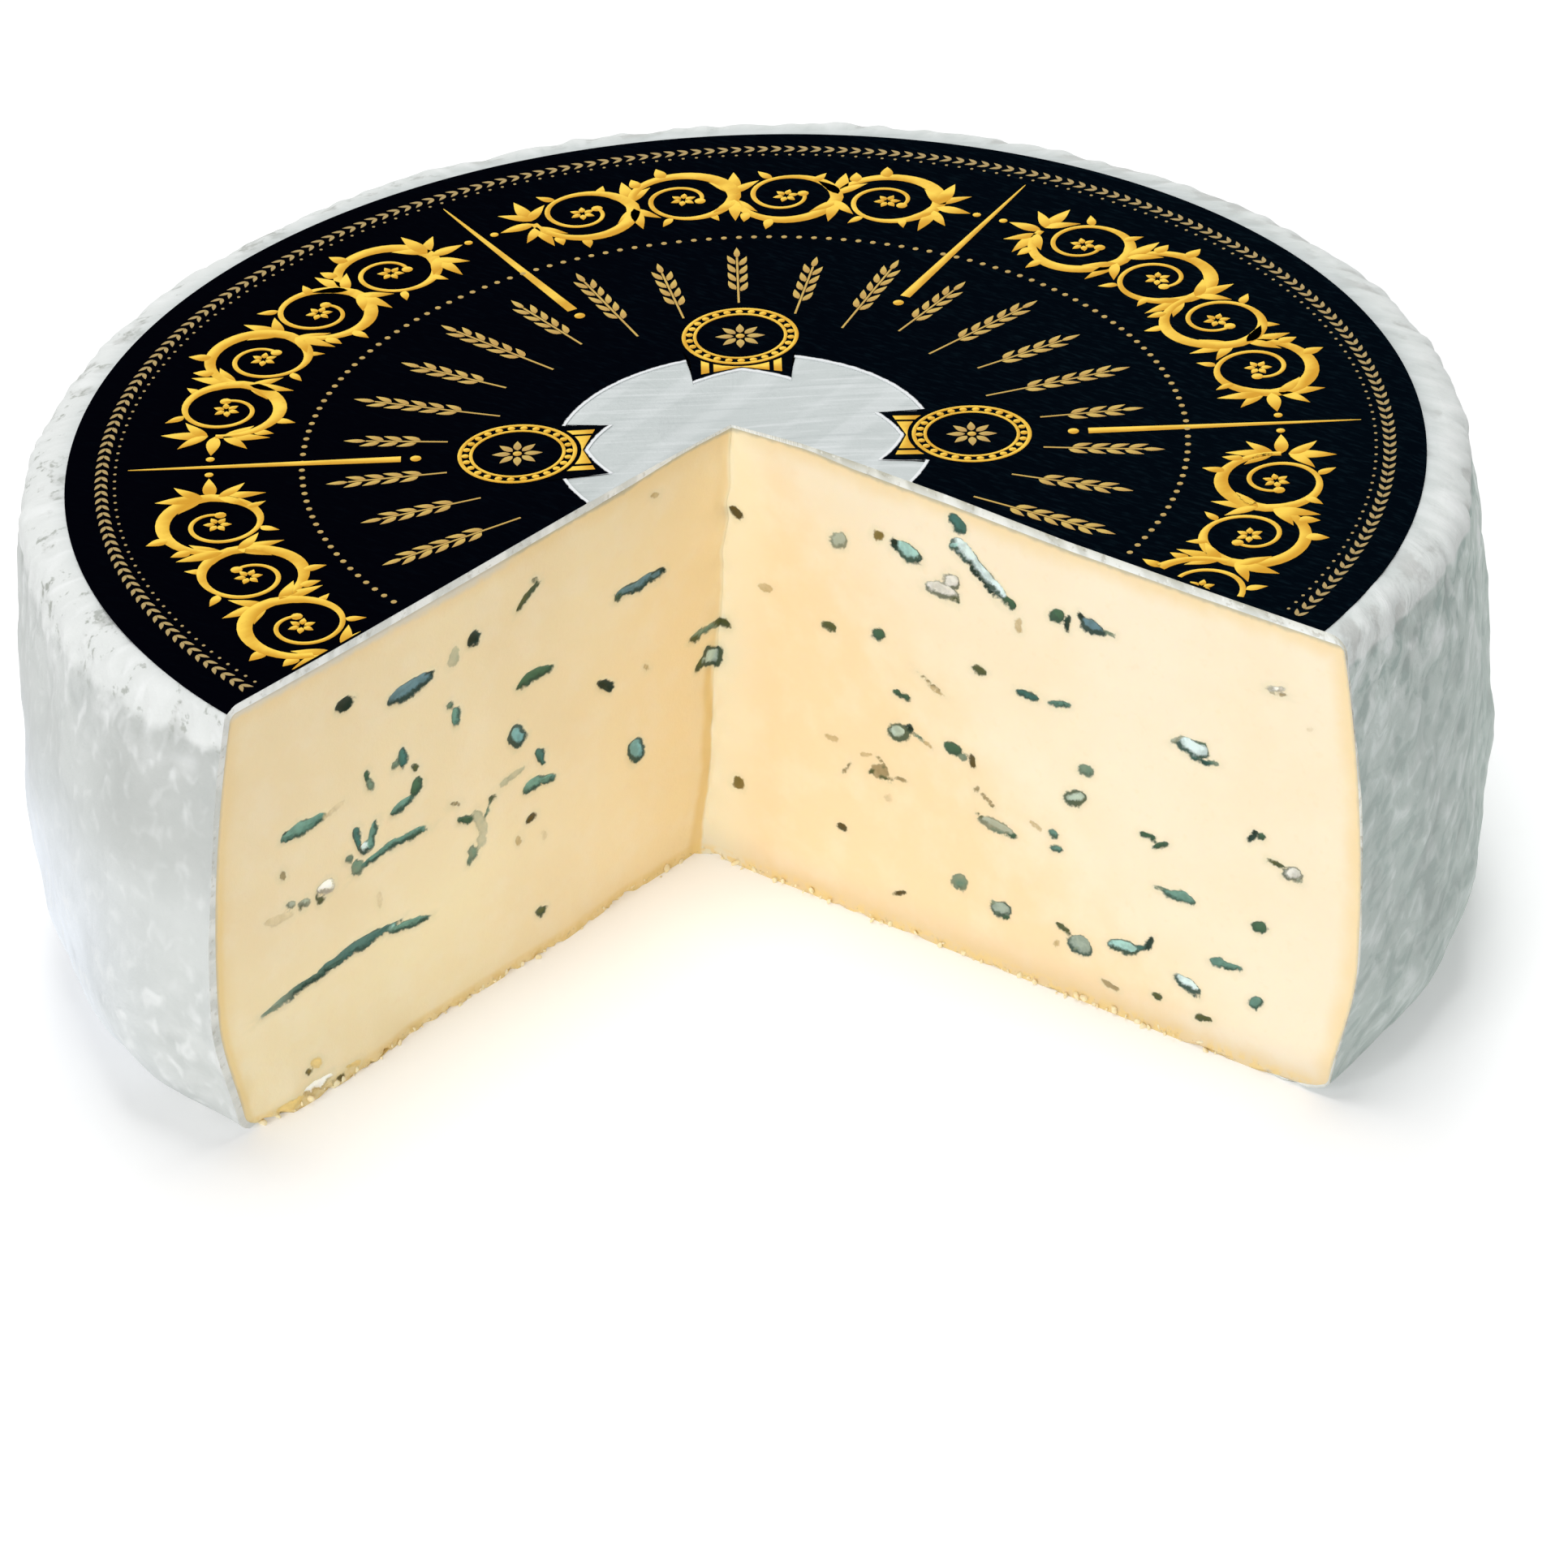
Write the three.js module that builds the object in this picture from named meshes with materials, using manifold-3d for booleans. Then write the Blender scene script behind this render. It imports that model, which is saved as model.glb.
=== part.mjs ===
// A blue cheese wheel with a wedge cut out of it, and the printed paper label on its top.
// Millimetres, +Z up, the cut opening faces -Y and the wheel stands on Z = 0.

import * as THREE from "three";
import Module from "manifold-3d";
import { mergeVertices } from "three/addons/utils/BufferGeometryUtils.js";

const wasm = await Module();
wasm.setup();

// Wheel: a low drum whose wall swells a little below its middle
const WHEEL_RADIUS = 100;
const WHEEL_HEIGHT = 70.4;
const BELLY_LEVEL = 28;
const BELLY_SWELL = 2.4;

// Rounding of the upper edge and of the foot, both quarter ellipses
const SHOULDER_REACH = 10.4;
const SHOULDER_DROP = 3.6;
const FOOT_REACH = 9.9;
const FOOT_RISE = 15.5;

// The two knife cuts meet in a line that leans back into the wheel towards its foot
const APEX_TOP = new THREE.Vector2(-1.9, 4.0);
const APEX_FOOT = new THREE.Vector2(-8.5, 7.3);
const LEFT_CUT_ANGLE = THREE.MathUtils.degToRad(225.8);
const RIGHT_CUT_ANGLE = THREE.MathUtils.degToRad(-39.0);
const CUTTER_REACH = 190;
const CUTTER_SPARE = 10;

// Paper label, with a round window and three small rounded tabs that reach into it
const LABEL_RADIUS = 90.9;
const LABEL_CENTRE = new THREE.Vector2(-0.45, -2.1);
const LABEL_THICKNESS = 0.4;
const LABEL_GAP = 0.3;
const WINDOW_RADIUS = 25;
const TAB_RADIUS = 6.5;
const TAB_OFFSET = 25.5;
const TAB_ANGLES = [0, Math.PI / 2, Math.PI];

// Facets
const WHEEL_COLUMNS = 150;
const FOOT_STEPS = 6;
const WALL_STEPS = 9;
const SHOULDER_STEPS = 4;
const LABEL_SEGMENTS = 160;
const WINDOW_SEGMENTS = 60;
const TAB_SEGMENTS = 24;

// Soft lumps of the rind: height in mm, waves round the wheel, waves up the wall, phase
const RIND_WAVES = [
  { height: 0.34, around: 5, up: 0.7, phase: 0.4 },
  { height: 0.28, around: -11, up: 1.6, phase: 2.1 },
  { height: 0.24, around: 19, up: 2.3, phase: 4.0 },
  { height: 0.2, around: -27, up: 3.1, phase: 1.2 },
  { height: 0.16, around: 38, up: 1.1, phase: 5.3 },
];

// Open veins in the cut faces: distance from the inner corner, height, length, width, tilt in degrees
const LEFT_VEINS = [
  { along: 60, level: 57.2, length: 8.5, width: 2.8, tilt: -2 },
  { along: 17, level: 53.2, length: 9.0, width: 1.8, tilt: 3 },
  { along: 36.5, level: 47.9, length: 6.2, width: 2.2, tilt: 0 },
  { along: 79.5, level: 44.7, length: 8.5, width: 2.2, tilt: 2 },
  { along: 39.5, level: 39.4, length: 4.4, width: 3.2, tilt: 55 },
  { along: 22.5, level: 39.6, length: 4.0, width: 1.6, tilt: 48 },
  { along: 34.8, level: 29.9, length: 6.4, width: 2.0, tilt: 8 },
  { along: 15.4, level: 25.8, length: 4.8, width: 3.2, tilt: 45 },
  { along: 60.8, level: 39.6, length: 5.6, width: 1.7, tilt: -24 },
  { along: 63, level: 33.2, length: 12.5, width: 1.5, tilt: 2 },
  { along: 68, level: 35.6, length: 5.6, width: 1.5, tilt: 88 },
  { along: 72.5, level: 61, length: 3.2, width: 2.2, tilt: 20 },
  { along: 49.2, level: 59.6, length: 2.8, width: 2.4, tilt: 0 },
  { along: 67, level: 19.9, length: 15, width: 1.8, tilt: -1 },
  { along: 79, level: 18.9, length: 12, width: 1.5, tilt: -6 },
];
const RIGHT_VEINS = [
  { along: 42.2, level: 61.5, length: 10, width: 2.4, tilt: -38 },
  { along: 30, level: 60, length: 5.0, width: 2.4, tilt: -6 },
  { along: 37.6, level: 66.6, length: 3.2, width: 2.0, tilt: -20 },
  { along: 60.6, level: 59, length: 5.2, width: 2.4, tilt: -10 },
  { along: 55, level: 58.6, length: 3.2, width: 2.2, tilt: -10 },
  { along: 36.5, level: 56.4, length: 5.4, width: 2.6, tilt: 18 },
  { along: 77.8, level: 46, length: 5.4, width: 3.2, tilt: 0 },
  { along: 31.4, level: 32.2, length: 4.4, width: 2.4, tilt: 40 },
  { along: 60.5, level: 31.8, length: 3.4, width: 2.2, tilt: 35 },
  { along: 94.4, level: 32.8, length: 5.0, width: 2.2, tilt: 0 },
  { along: 78, level: 22.7, length: 5.6, width: 1.6, tilt: 3 },
  { along: 63, level: 9.9, length: 5.2, width: 3.2, tilt: -15 },
  { along: 71.6, level: 12, length: 6.4, width: 2.2, tilt: 24 },
  { along: 50.4, level: 10, length: 3.6, width: 2.6, tilt: 20 },
  { along: 18.9, level: 58, length: 2.8, width: 2.4, tilt: 0 },
];
const VEIN_DEPTH_SHARE = 0.55;
const VEIN_DEPTH_LEAST = 0.9;
const VEIN_SEGMENTS = 10;
const VEIN_RINGS = 6;

// Scraps torn from the lower edge of the cut faces where the knife left the cheese
const LEFT_TEARS = [
  { along: 6, level: 0, length: 15, width: 4.4, tilt: -4 },
  { along: 19, level: 0, length: 11, width: 2.6, tilt: 5 },
  { along: 76, level: 0.4, length: 6.5, width: 2.8, tilt: 8 },
  { along: 77.6, level: 5.1, length: 2.0, width: 1.4, tilt: 0 },
];
const RIGHT_TEARS = [{ along: 5, level: 0, length: 10, width: 2.4, tilt: -3 }];

const RIND_COLOUR = 0xd6dad5;
const LABEL_COLOUR = 0x090b15;

// Radius of the wall at a level, before the edges are rounded
function wallRadius(level) {
  const share = (2 * (level - BELLY_LEVEL)) / WHEEL_HEIGHT;
  return WHEEL_RADIUS - BELLY_SWELL * share * share;
}

// Outline of the wheel from the middle of its underside to the middle of its top
function wheelProfile() {
  const points = [new THREE.Vector2(0, 0)];
  for (let i = 0; i <= FOOT_STEPS; i++) {
    const turn = (i / FOOT_STEPS) * (Math.PI / 2);
    const level = FOOT_RISE * (1 - Math.cos(turn));
    points.push(new THREE.Vector2(wallRadius(level) - FOOT_REACH * (1 - Math.sin(turn)), level));
  }
  const shoulderLevel = WHEEL_HEIGHT - SHOULDER_DROP;
  for (let i = 1; i < WALL_STEPS; i++) {
    const level = THREE.MathUtils.lerp(FOOT_RISE, shoulderLevel, i / WALL_STEPS);
    points.push(new THREE.Vector2(wallRadius(level), level));
  }
  for (let i = 0; i <= SHOULDER_STEPS; i++) {
    const turn = (i / SHOULDER_STEPS) * (Math.PI / 2);
    const level = shoulderLevel + SHOULDER_DROP * Math.sin(turn);
    points.push(new THREE.Vector2(wallRadius(level) - SHOULDER_REACH * (1 - Math.cos(turn)), level));
  }
  points.push(new THREE.Vector2(0, WHEEL_HEIGHT));
  return points;
}

// Height of the rind's lumps at an angle round the wheel and a level up it
function rindRelief(angle, level) {
  const up = (2 * Math.PI * level) / WHEEL_HEIGHT;
  const fade = Math.sin((Math.PI * level) / WHEEL_HEIGHT);
  let height = 0;
  for (const wave of RIND_WAVES) {
    height += wave.height * Math.sin(wave.around * angle + wave.up * up + wave.phase);
  }
  return height * Math.sqrt(Math.max(fade, 0));
}

// Closed solid for the boolean library from a three.js geometry
function toSolid(geometry) {
  const bare = new THREE.BufferGeometry();
  bare.setAttribute("position", geometry.getAttribute("position").clone());
  bare.setIndex(geometry.getIndex());
  const welded = mergeVertices(bare, 1e-4);
  const corners = welded.getIndex().array;
  const kept = [];
  for (let i = 0; i < corners.length; i += 3) {
    const [a, b, c] = [corners[i], corners[i + 1], corners[i + 2]];
    if (a !== b && b !== c && c !== a) {
      kept.push(a, b, c);
    }
  }
  const mesh = new wasm.Mesh({
    numProp: 3,
    vertProperties: new Float32Array(welded.getAttribute("position").array),
    triVerts: new Uint32Array(kept),
  });
  return new wasm.Manifold(mesh);
}

// Three.js geometry with flat facets from a solid of the boolean library
function toGeometry(solid) {
  const mesh = solid.getMesh();
  const geometry = new THREE.BufferGeometry();
  geometry.setAttribute("position", new THREE.BufferAttribute(new Float32Array(mesh.vertProperties), 3));
  geometry.setIndex(new THREE.BufferAttribute(new Uint32Array(mesh.triVerts), 1));
  const faceted = geometry.toNonIndexed();
  faceted.computeVertexNormals();
  return faceted;
}

// Place of the inner corner of the cut at a level
function apexAt(level) {
  return new THREE.Vector2().lerpVectors(APEX_FOOT, APEX_TOP, level / WHEEL_HEIGHT);
}

// The whole wheel before it is cut, with its lumpy rind
function uncutWheel() {
  const geometry = new THREE.LatheGeometry(wheelProfile(), WHEEL_COLUMNS);
  geometry.rotateX(Math.PI / 2);
  const position = geometry.getAttribute("position");
  for (let i = 0; i < position.count; i++) {
    const [x, y, z] = [position.getX(i), position.getY(i), position.getZ(i)];
    const radius = Math.hypot(x, y);
    if (radius > 0) {
      const swell = 1 + rindRelief(Math.atan2(y, x), z) / radius;
      position.setXY(i, x * swell, y * swell);
    }
  }
  return toSolid(geometry);
}

// Sheared prism of the wedge that was cut away
function wedgeCutter() {
  const shape = new THREE.Shape();
  shape.moveTo(0, 0);
  for (const angle of [LEFT_CUT_ANGLE, -Math.PI / 2, RIGHT_CUT_ANGLE]) {
    shape.lineTo(CUTTER_REACH * Math.cos(angle), CUTTER_REACH * Math.sin(angle));
  }
  shape.closePath();
  const depth = WHEEL_HEIGHT + 2 * CUTTER_SPARE;
  const geometry = new THREE.ExtrudeGeometry(shape, { depth, bevelEnabled: false });
  geometry.translate(0, 0, -CUTTER_SPARE);
  const position = geometry.getAttribute("position");
  for (let i = 0; i < position.count; i++) {
    const apex = apexAt(position.getZ(i));
    position.setXY(i, position.getX(i) + apex.x, position.getY(i) + apex.y);
  }
  return toSolid(geometry);
}

// Flattened ball that lies in a cut face, half in the cheese and half in the open
function pitCutter(vein, cutAngle) {
  const depth = Math.max(VEIN_DEPTH_LEAST, VEIN_DEPTH_SHARE * vein.width);
  const geometry = new THREE.SphereGeometry(1, VEIN_SEGMENTS, VEIN_RINGS);
  geometry.scale(vein.length / 2, depth, vein.width / 2);
  geometry.rotateY(-THREE.MathUtils.degToRad(vein.tilt));
  geometry.rotateZ(cutAngle);
  const apex = apexAt(vein.level);
  geometry.translate(
    apex.x + vein.along * Math.cos(cutAngle),
    apex.y + vein.along * Math.sin(cutAngle),
    vein.level,
  );
  return toSolid(geometry);
}

// The wheel with its wedge, veins and tears cut out
function cutWheel() {
  const cutters = [wedgeCutter()];
  for (const vein of [...LEFT_VEINS, ...LEFT_TEARS]) {
    cutters.push(pitCutter(vein, LEFT_CUT_ANGLE));
  }
  for (const vein of [...RIGHT_VEINS, ...RIGHT_TEARS]) {
    cutters.push(pitCutter(vein, RIGHT_CUT_ANGLE));
  }
  return uncutWheel().subtract(wasm.Manifold.union(cutters));
}

// Upright cylinder of the label's thickness at a place on the label
function labelDisc(radius, segments, x, y) {
  const geometry = new THREE.CylinderGeometry(radius, radius, LABEL_THICKNESS, segments);
  geometry.rotateX(Math.PI / 2);
  geometry.translate(
    LABEL_CENTRE.x + x,
    LABEL_CENTRE.y + y,
    WHEEL_HEIGHT + LABEL_GAP + LABEL_THICKNESS / 2,
  );
  return toSolid(geometry);
}

// Label ring with its tabs, trimmed flush with the two cut faces
function cutLabel() {
  let ring = labelDisc(LABEL_RADIUS, LABEL_SEGMENTS, 0, 0);
  ring = ring.subtract(labelDisc(WINDOW_RADIUS, WINDOW_SEGMENTS, 0, 0));
  for (const angle of TAB_ANGLES) {
    const x = TAB_OFFSET * Math.cos(angle);
    const y = TAB_OFFSET * Math.sin(angle);
    ring = ring.add(labelDisc(TAB_RADIUS, TAB_SEGMENTS, x, y));
  }
  return ring.subtract(wedgeCutter());
}

function namedMesh(name, solid, colour, roughness) {
  const material = new THREE.MeshStandardMaterial({ color: colour, roughness, metalness: 0 });
  const mesh = new THREE.Mesh(toGeometry(solid), material);
  mesh.name = name;
  return mesh;
}

// The wheel's axis stands ahead of the origin, which is the middle of the part's footprint
const AXIS_SETBACK = 16.8;

const cheese = new THREE.Group();
const upright = new THREE.Group();
upright.position.set(0, -AXIS_SETBACK, 0);
upright.add(namedMesh("cheese_wheel", cutWheel(), RIND_COLOUR, 0.85));
upright.add(namedMesh("top_label", cutLabel(), LABEL_COLOUR, 0.4));
cheese.add(upright);

export default cheese;
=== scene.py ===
"""Finish of a cut blue cheese wheel: rind, veined paste, paper label and gold ink, in a studio.

Lengths are in millimetres from the wheel's own axis until a piece is made, and then in metres.
"""
import math
from dataclasses import dataclass

import bpy
import numpy as np
from mathutils import Matrix, Vector


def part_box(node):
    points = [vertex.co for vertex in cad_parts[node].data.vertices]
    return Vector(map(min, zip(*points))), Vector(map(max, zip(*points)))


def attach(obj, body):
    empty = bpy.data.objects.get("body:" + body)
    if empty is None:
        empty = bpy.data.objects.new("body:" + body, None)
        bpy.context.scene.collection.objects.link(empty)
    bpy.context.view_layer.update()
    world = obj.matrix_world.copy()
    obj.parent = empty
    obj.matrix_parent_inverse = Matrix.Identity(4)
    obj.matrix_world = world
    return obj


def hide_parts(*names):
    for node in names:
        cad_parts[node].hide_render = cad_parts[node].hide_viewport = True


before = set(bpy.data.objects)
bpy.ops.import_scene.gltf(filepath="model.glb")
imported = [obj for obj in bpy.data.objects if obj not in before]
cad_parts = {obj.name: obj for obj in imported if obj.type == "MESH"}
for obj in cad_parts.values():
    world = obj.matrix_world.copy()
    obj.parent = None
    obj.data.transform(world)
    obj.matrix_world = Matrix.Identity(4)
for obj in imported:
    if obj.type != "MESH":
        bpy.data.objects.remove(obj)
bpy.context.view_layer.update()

MM = 0.001

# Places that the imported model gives
LABEL_LOW, LABEL_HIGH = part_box("top_label")
LABEL_RADIUS = (LABEL_HIGH[0] - LABEL_LOW[0]) / 2 / MM
LABEL_LEVEL = LABEL_LOW[2] / MM
LABEL_CENTRE = np.array([-0.45, -2.1])
AXIS = Vector((
    (LABEL_LOW[0] + LABEL_HIGH[0]) / 2 - LABEL_CENTRE[0] * MM,
    LABEL_HIGH[1] - (LABEL_RADIUS + LABEL_CENTRE[1]) * MM,
    0.0,
))

# Wheel
WHEEL_RADIUS = 100.0
WHEEL_HEIGHT = 70.4
RIND_TOP = LABEL_LEVEL - 0.02
RIND_ON_TOP = 1.3
RIND_AT_CORNER = 0.5
RIND_BELOW = 0.5

# Knife cuts: both planes hold the leaning line of the inner corner
APEX_TOP = np.array([-1.9, 4.0])
APEX_FOOT = np.array([-8.5, 7.3])
LEFT_CUT = math.radians(225.8)
RIGHT_CUT = math.radians(-39.0)

# Soft lumps of the rind: height, waves round the wheel, waves up the wall, phase
RIND_WAVES = (
    (0.34, 5, 0.7, 0.4),
    (0.28, -11, 1.6, 2.1),
    (0.24, 19, 2.3, 4.0),
    (0.20, -27, 3.1, 1.2),
    (0.16, 38, 1.1, 5.3),
)

# Camera, worked out from the label's ellipse and the wheel's outline
CAMERA_DISTANCE = 1017.1
CAMERA_ELEVATION = 0.5128
CAMERA_YAW = 0.0034
CAMERA_PITCH = 0.5588
CAMERA_ROLL = 0.0398
CAMERA_AIM_LEVEL = 71.08
CAMERA_LENS = 174.2
CAMERA_SENSOR = 36.0


def pair(x, y):
    """Points or directions in a plane from their two parts."""
    return np.stack([x, y], axis=-1)


def unit(angle):
    """Unit vectors in the plane for an angle or an array of angles."""
    return pair(np.cos(angle), np.sin(angle))


def distance(flat):
    """Distance from the origin of points in the plane, or of others seen from above."""
    return np.hypot(flat[..., 0], flat[..., 1])


def at_level(flat, level):
    """Points from places in the plane and their levels."""
    return np.concatenate([flat, level[..., None]], axis=-1)


def smooth(low, high, value):
    """0 below low, 1 above high and an even slope between; low may be the larger."""
    share = np.clip((value - low) / (high - low), 0.0, 1.0)
    return share * share * (3 - 2 * share)


def lattice_noise(points, size, seed):
    """Smooth noise from -1 to 1 at points in millimetres, with lumps about size across."""
    grid = np.asarray(points, dtype=float) / size + 0.37 * seed + 100.0
    cell = np.floor(grid).astype(np.int64)
    share = grid - cell
    share = share * share * (3 - 2 * share)
    primes = np.array([73856093, 19349663, 83492791])[: grid.shape[-1]]
    total = np.zeros(grid.shape[:-1])
    for corner in np.ndindex(*(2,) * grid.shape[-1]):
        step = np.array(corner)
        weight = np.prod(np.where(step == 1, share, 1 - share), axis=-1)
        mixed = np.bitwise_xor.reduce((cell + step) * primes, axis=-1) + seed * 7919
        mixed = (mixed ^ (mixed >> 13)) * 1274126177 & 0x7FFFFFFF
        total += weight * ((mixed >> 8 & 0xFFFF) / 32767.5 - 1)
    return total


def layered(points, *layers):
    """Noise in layers, each with its height, the size of its lumps and its seed."""
    return sum(height * lattice_noise(points, size, seed) for height, size, seed in layers)


def add_object(name, data):
    """A new object in the scene."""
    item = bpy.data.objects.new(name, data)
    bpy.context.collection.objects.link(item)
    return item


# Camera

def make_camera():
    """Camera at the photograph's viewing angle."""
    eye = Vector((
        0.0,
        -CAMERA_DISTANCE * math.cos(CAMERA_ELEVATION),
        CAMERA_AIM_LEVEL + CAMERA_DISTANCE * math.sin(CAMERA_ELEVATION),
    ))
    forward = Vector((
        math.sin(CAMERA_YAW) * math.cos(CAMERA_PITCH),
        math.cos(CAMERA_YAW) * math.cos(CAMERA_PITCH),
        -math.sin(CAMERA_PITCH),
    ))
    level_right = Vector((math.cos(CAMERA_YAW), -math.sin(CAMERA_YAW), 0.0))
    level_down = forward.cross(level_right)
    right = level_right * math.cos(CAMERA_ROLL) + level_down * math.sin(CAMERA_ROLL)
    down = level_down * math.cos(CAMERA_ROLL) - level_right * math.sin(CAMERA_ROLL)
    data = bpy.data.cameras.new("photo_camera")
    data.lens = CAMERA_LENS
    data.sensor_width = CAMERA_SENSOR
    data.clip_end = 20.0
    camera = add_object("photo_camera", data)
    turn = Matrix((right, -down, -forward)).transposed().to_4x4()
    camera.matrix_world = Matrix.Translation(AXIS + eye * MM) @ turn
    bpy.context.scene.camera = camera


make_camera()


# Node trees

class Sum:
    """A number in a node tree, so that its maths reads as arithmetic."""

    def __init__(self, nodes, socket):
        self.nodes = nodes
        self.socket = socket

    def math(self, operation, *others):
        sockets = dict(enumerate((self, *others)))
        return self.nodes.node("ShaderNodeMath", {"operation": operation}, sockets)

    def __add__(self, other):
        return self.math("ADD", other)

    def __mul__(self, other):
        return self.math("MULTIPLY", other)

    __radd__ = __add__
    __rmul__ = __mul__

    def __sub__(self, other):
        return self.math("SUBTRACT", other)

    def __rsub__(self, other):
        return self.math("MULTIPLY", -1.0) + other

    def step(self, low, high):
        """0 at low and 1 at high with a smooth slope; low may be the larger."""
        sockets = {"Value": self, "From Min": min(low, high), "From Max": max(low, high)}
        if low > high:
            sockets.update({"To Min": 1.0, "To Max": 0.0})
        return self.nodes.node("ShaderNodeMapRange", {"interpolation_type": "SMOOTHSTEP"}, sockets)


class Nodes:
    """A node tree with one method for any kind of node."""

    def feed(self, place, value):
        """Puts a number, colour, vector, Sum or socket into an input."""
        if isinstance(value, Sum):
            value = value.socket
        if isinstance(value, bpy.types.NodeSocket):
            self.tree.links.new(value, place)
        elif isinstance(value, tuple) and place.type == "RGBA":
            place.default_value = (*value, 1.0)
        else:
            place.default_value = value

    def node(self, kind, settings=None, sockets=None, output=0):
        """A node of that kind with its settings made first and its inputs fed; gives one output."""
        node = self.tree.nodes.new(kind)
        for key, value in (settings or {}).items():
            setattr(node, key, value)
        for key, value in (sockets or {}).items():
            self.feed(node.inputs[key], value)
        out = node.outputs[output]
        return Sum(self, out) if out.type == "VALUE" else out


class Shader(Nodes):
    """One procedural material and the nodes that it is made from."""

    def __init__(self, name):
        self.material = bpy.data.materials.new(name)
        self.material.use_nodes = True
        self.tree = self.material.node_tree
        self.surface = self.tree.nodes["Principled BSDF"]

    def attribute(self, name, output="Fac"):
        return self.node("ShaderNodeAttribute", {"attribute_name": name}, output=output)

    def attribute_parts(self, name):
        """The three numbers of a vector attribute."""
        parts = self.tree.nodes.new("ShaderNodeSeparateXYZ")
        self.feed(parts.inputs[0], self.attribute(name, "Vector"))
        return [Sum(self, out) for out in parts.outputs]

    def place(self):
        """Object coordinates, in metres."""
        return self.node("ShaderNodeTexCoord", output="Object")

    def turned(self, vector, angle):
        """The vector turned round the upright axis."""
        settings = {"rotation_type": "Z_AXIS"}
        return self.node("ShaderNodeVectorRotate", settings, {"Vector": vector, "Angle": angle})

    def stretched(self, vector, *scale):
        """The vector with its three parts scaled."""
        settings = {"operation": "MULTIPLY"}
        return self.node("ShaderNodeVectorMath", settings, {0: vector, 1: scale})

    def noise(self, vector, size_mm, detail, roughness, distortion=0.0, per_mm=False):
        """Noise from 0 to 1 with lumps about size_mm across; per_mm says the vector is in mm."""
        return self.node("ShaderNodeTexNoise", {"noise_dimensions": "3D"}, {
            "Vector": vector,
            "Scale": 1.0 / size_mm if per_mm else 1.0 / (size_mm * MM),
            "Detail": detail,
            "Roughness": roughness,
            "Distortion": distortion,
        })

    def mix(self, share, first, second, blend="MIX"):
        """Colour between first and second."""
        settings = {"data_type": "RGBA", "blend_type": blend, "clamp_factor": True}
        return self.node("ShaderNodeMix", settings, {0: share, 6: first, 7: second}, 2)

    def coats(self, base, *coats):
        """Colours laid over a base in turn, each with its share and perhaps its blend."""
        for share, colour, *blend in coats:
            base = self.mix(share, base, colour, *blend)
        return base

    def bump(self, height, distance_mm, strength, normal=None):
        sockets = {"Height": height, "Distance": distance_mm * MM, "Strength": strength}
        if normal is not None:
            sockets["Normal"] = normal
        return self.node("ShaderNodeBump", None, sockets)

    def finish(self, **inputs):
        """Feeds the surface shader, with spaces of its input names written as underscores."""
        for key, value in inputs.items():
            self.feed(self.surface.inputs[key.replace("_", " ")], value)
        return self.material


class Growth(Nodes):
    """A Geometry Nodes tree with named inputs, run once to give a plain mesh."""

    def __init__(self, name, **inputs):
        self.tree = bpy.data.node_groups.new(name, "GeometryNodeTree")
        face = self.tree.interface
        face.new_socket(name="Geometry", in_out="OUTPUT", socket_type="NodeSocketGeometry")
        face.new_socket(name="Geometry", in_out="INPUT", socket_type="NodeSocketGeometry")
        self.values = {}
        for key, value in inputs.items():
            kind = "Int" if isinstance(value, int) else "Float"
            if isinstance(value, bpy.types.Material):
                kind = "Material"
            socket = face.new_socket(name=key, in_out="INPUT", socket_type="NodeSocket" + kind)
            self.values[socket.identifier] = value
        self.inputs = self.tree.nodes.new("NodeGroupInput")

    def __getitem__(self, name):
        out = self.inputs.outputs[name]
        return Sum(self, out) if out.type == "VALUE" else out

    def combine(self, **parts):
        return self.node("ShaderNodeCombineXYZ", None, parts)

    def vector(self, operation, vector, **others):
        """A vector with one other input: by, a vector, or Scale, a number."""
        sockets = {1 if key == "by" else key: value for key, value in others.items()}
        return self.node("ShaderNodeVectorMath", {"operation": operation}, {0: vector, **sockets})

    def random(self, kind, low, high, seed, output):
        sockets = {"Min": low, "Max": high, "Seed": seed}
        if kind == "FLOAT":
            sockets = {2: low, 3: high, "Seed": seed}
        return self.node("FunctionNodeRandomValue", {"data_type": kind}, sockets, output)

    def repeat(self, motif, spots, rotation, **scale):
        sockets = {"Points": spots, "Instance": motif, "Rotation": rotation, **scale}
        return self.node("GeometryNodeInstanceOnPoints", None, sockets)

    def grow(self, instances, mesh, finish=None):
        """A plain mesh, and its points, of the instances with their material."""
        solid = self.node("GeometryNodeRealizeInstances", None, {"Geometry": instances})
        if finish:
            solid = finish(solid)
        sockets = {"Geometry": solid, "Material": self["Material"]}
        solid = self.node("GeometryNodeSetMaterial", None, sockets)
        out = self.tree.nodes.new("NodeGroupOutput")
        self.tree.links.new(solid, out.inputs["Geometry"])
        carrier = add_object(self.tree.name, mesh)
        modifier = carrier.modifiers.new(self.tree.name, "NODES")
        modifier.node_group = self.tree
        for identifier, value in self.values.items():
            modifier[identifier] = value
        view = bpy.context.evaluated_depsgraph_get()
        grown = bpy.data.meshes.new_from_object(carrier.evaluated_get(view), depsgraph=view)
        carrier.modifiers.remove(modifier)
        bpy.data.objects.remove(carrier)
        places = np.empty(len(grown.vertices) * 3)
        grown.vertices.foreach_get("co", places)
        return grown, places.reshape(-1, 3)


# Form of the wheel

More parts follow.
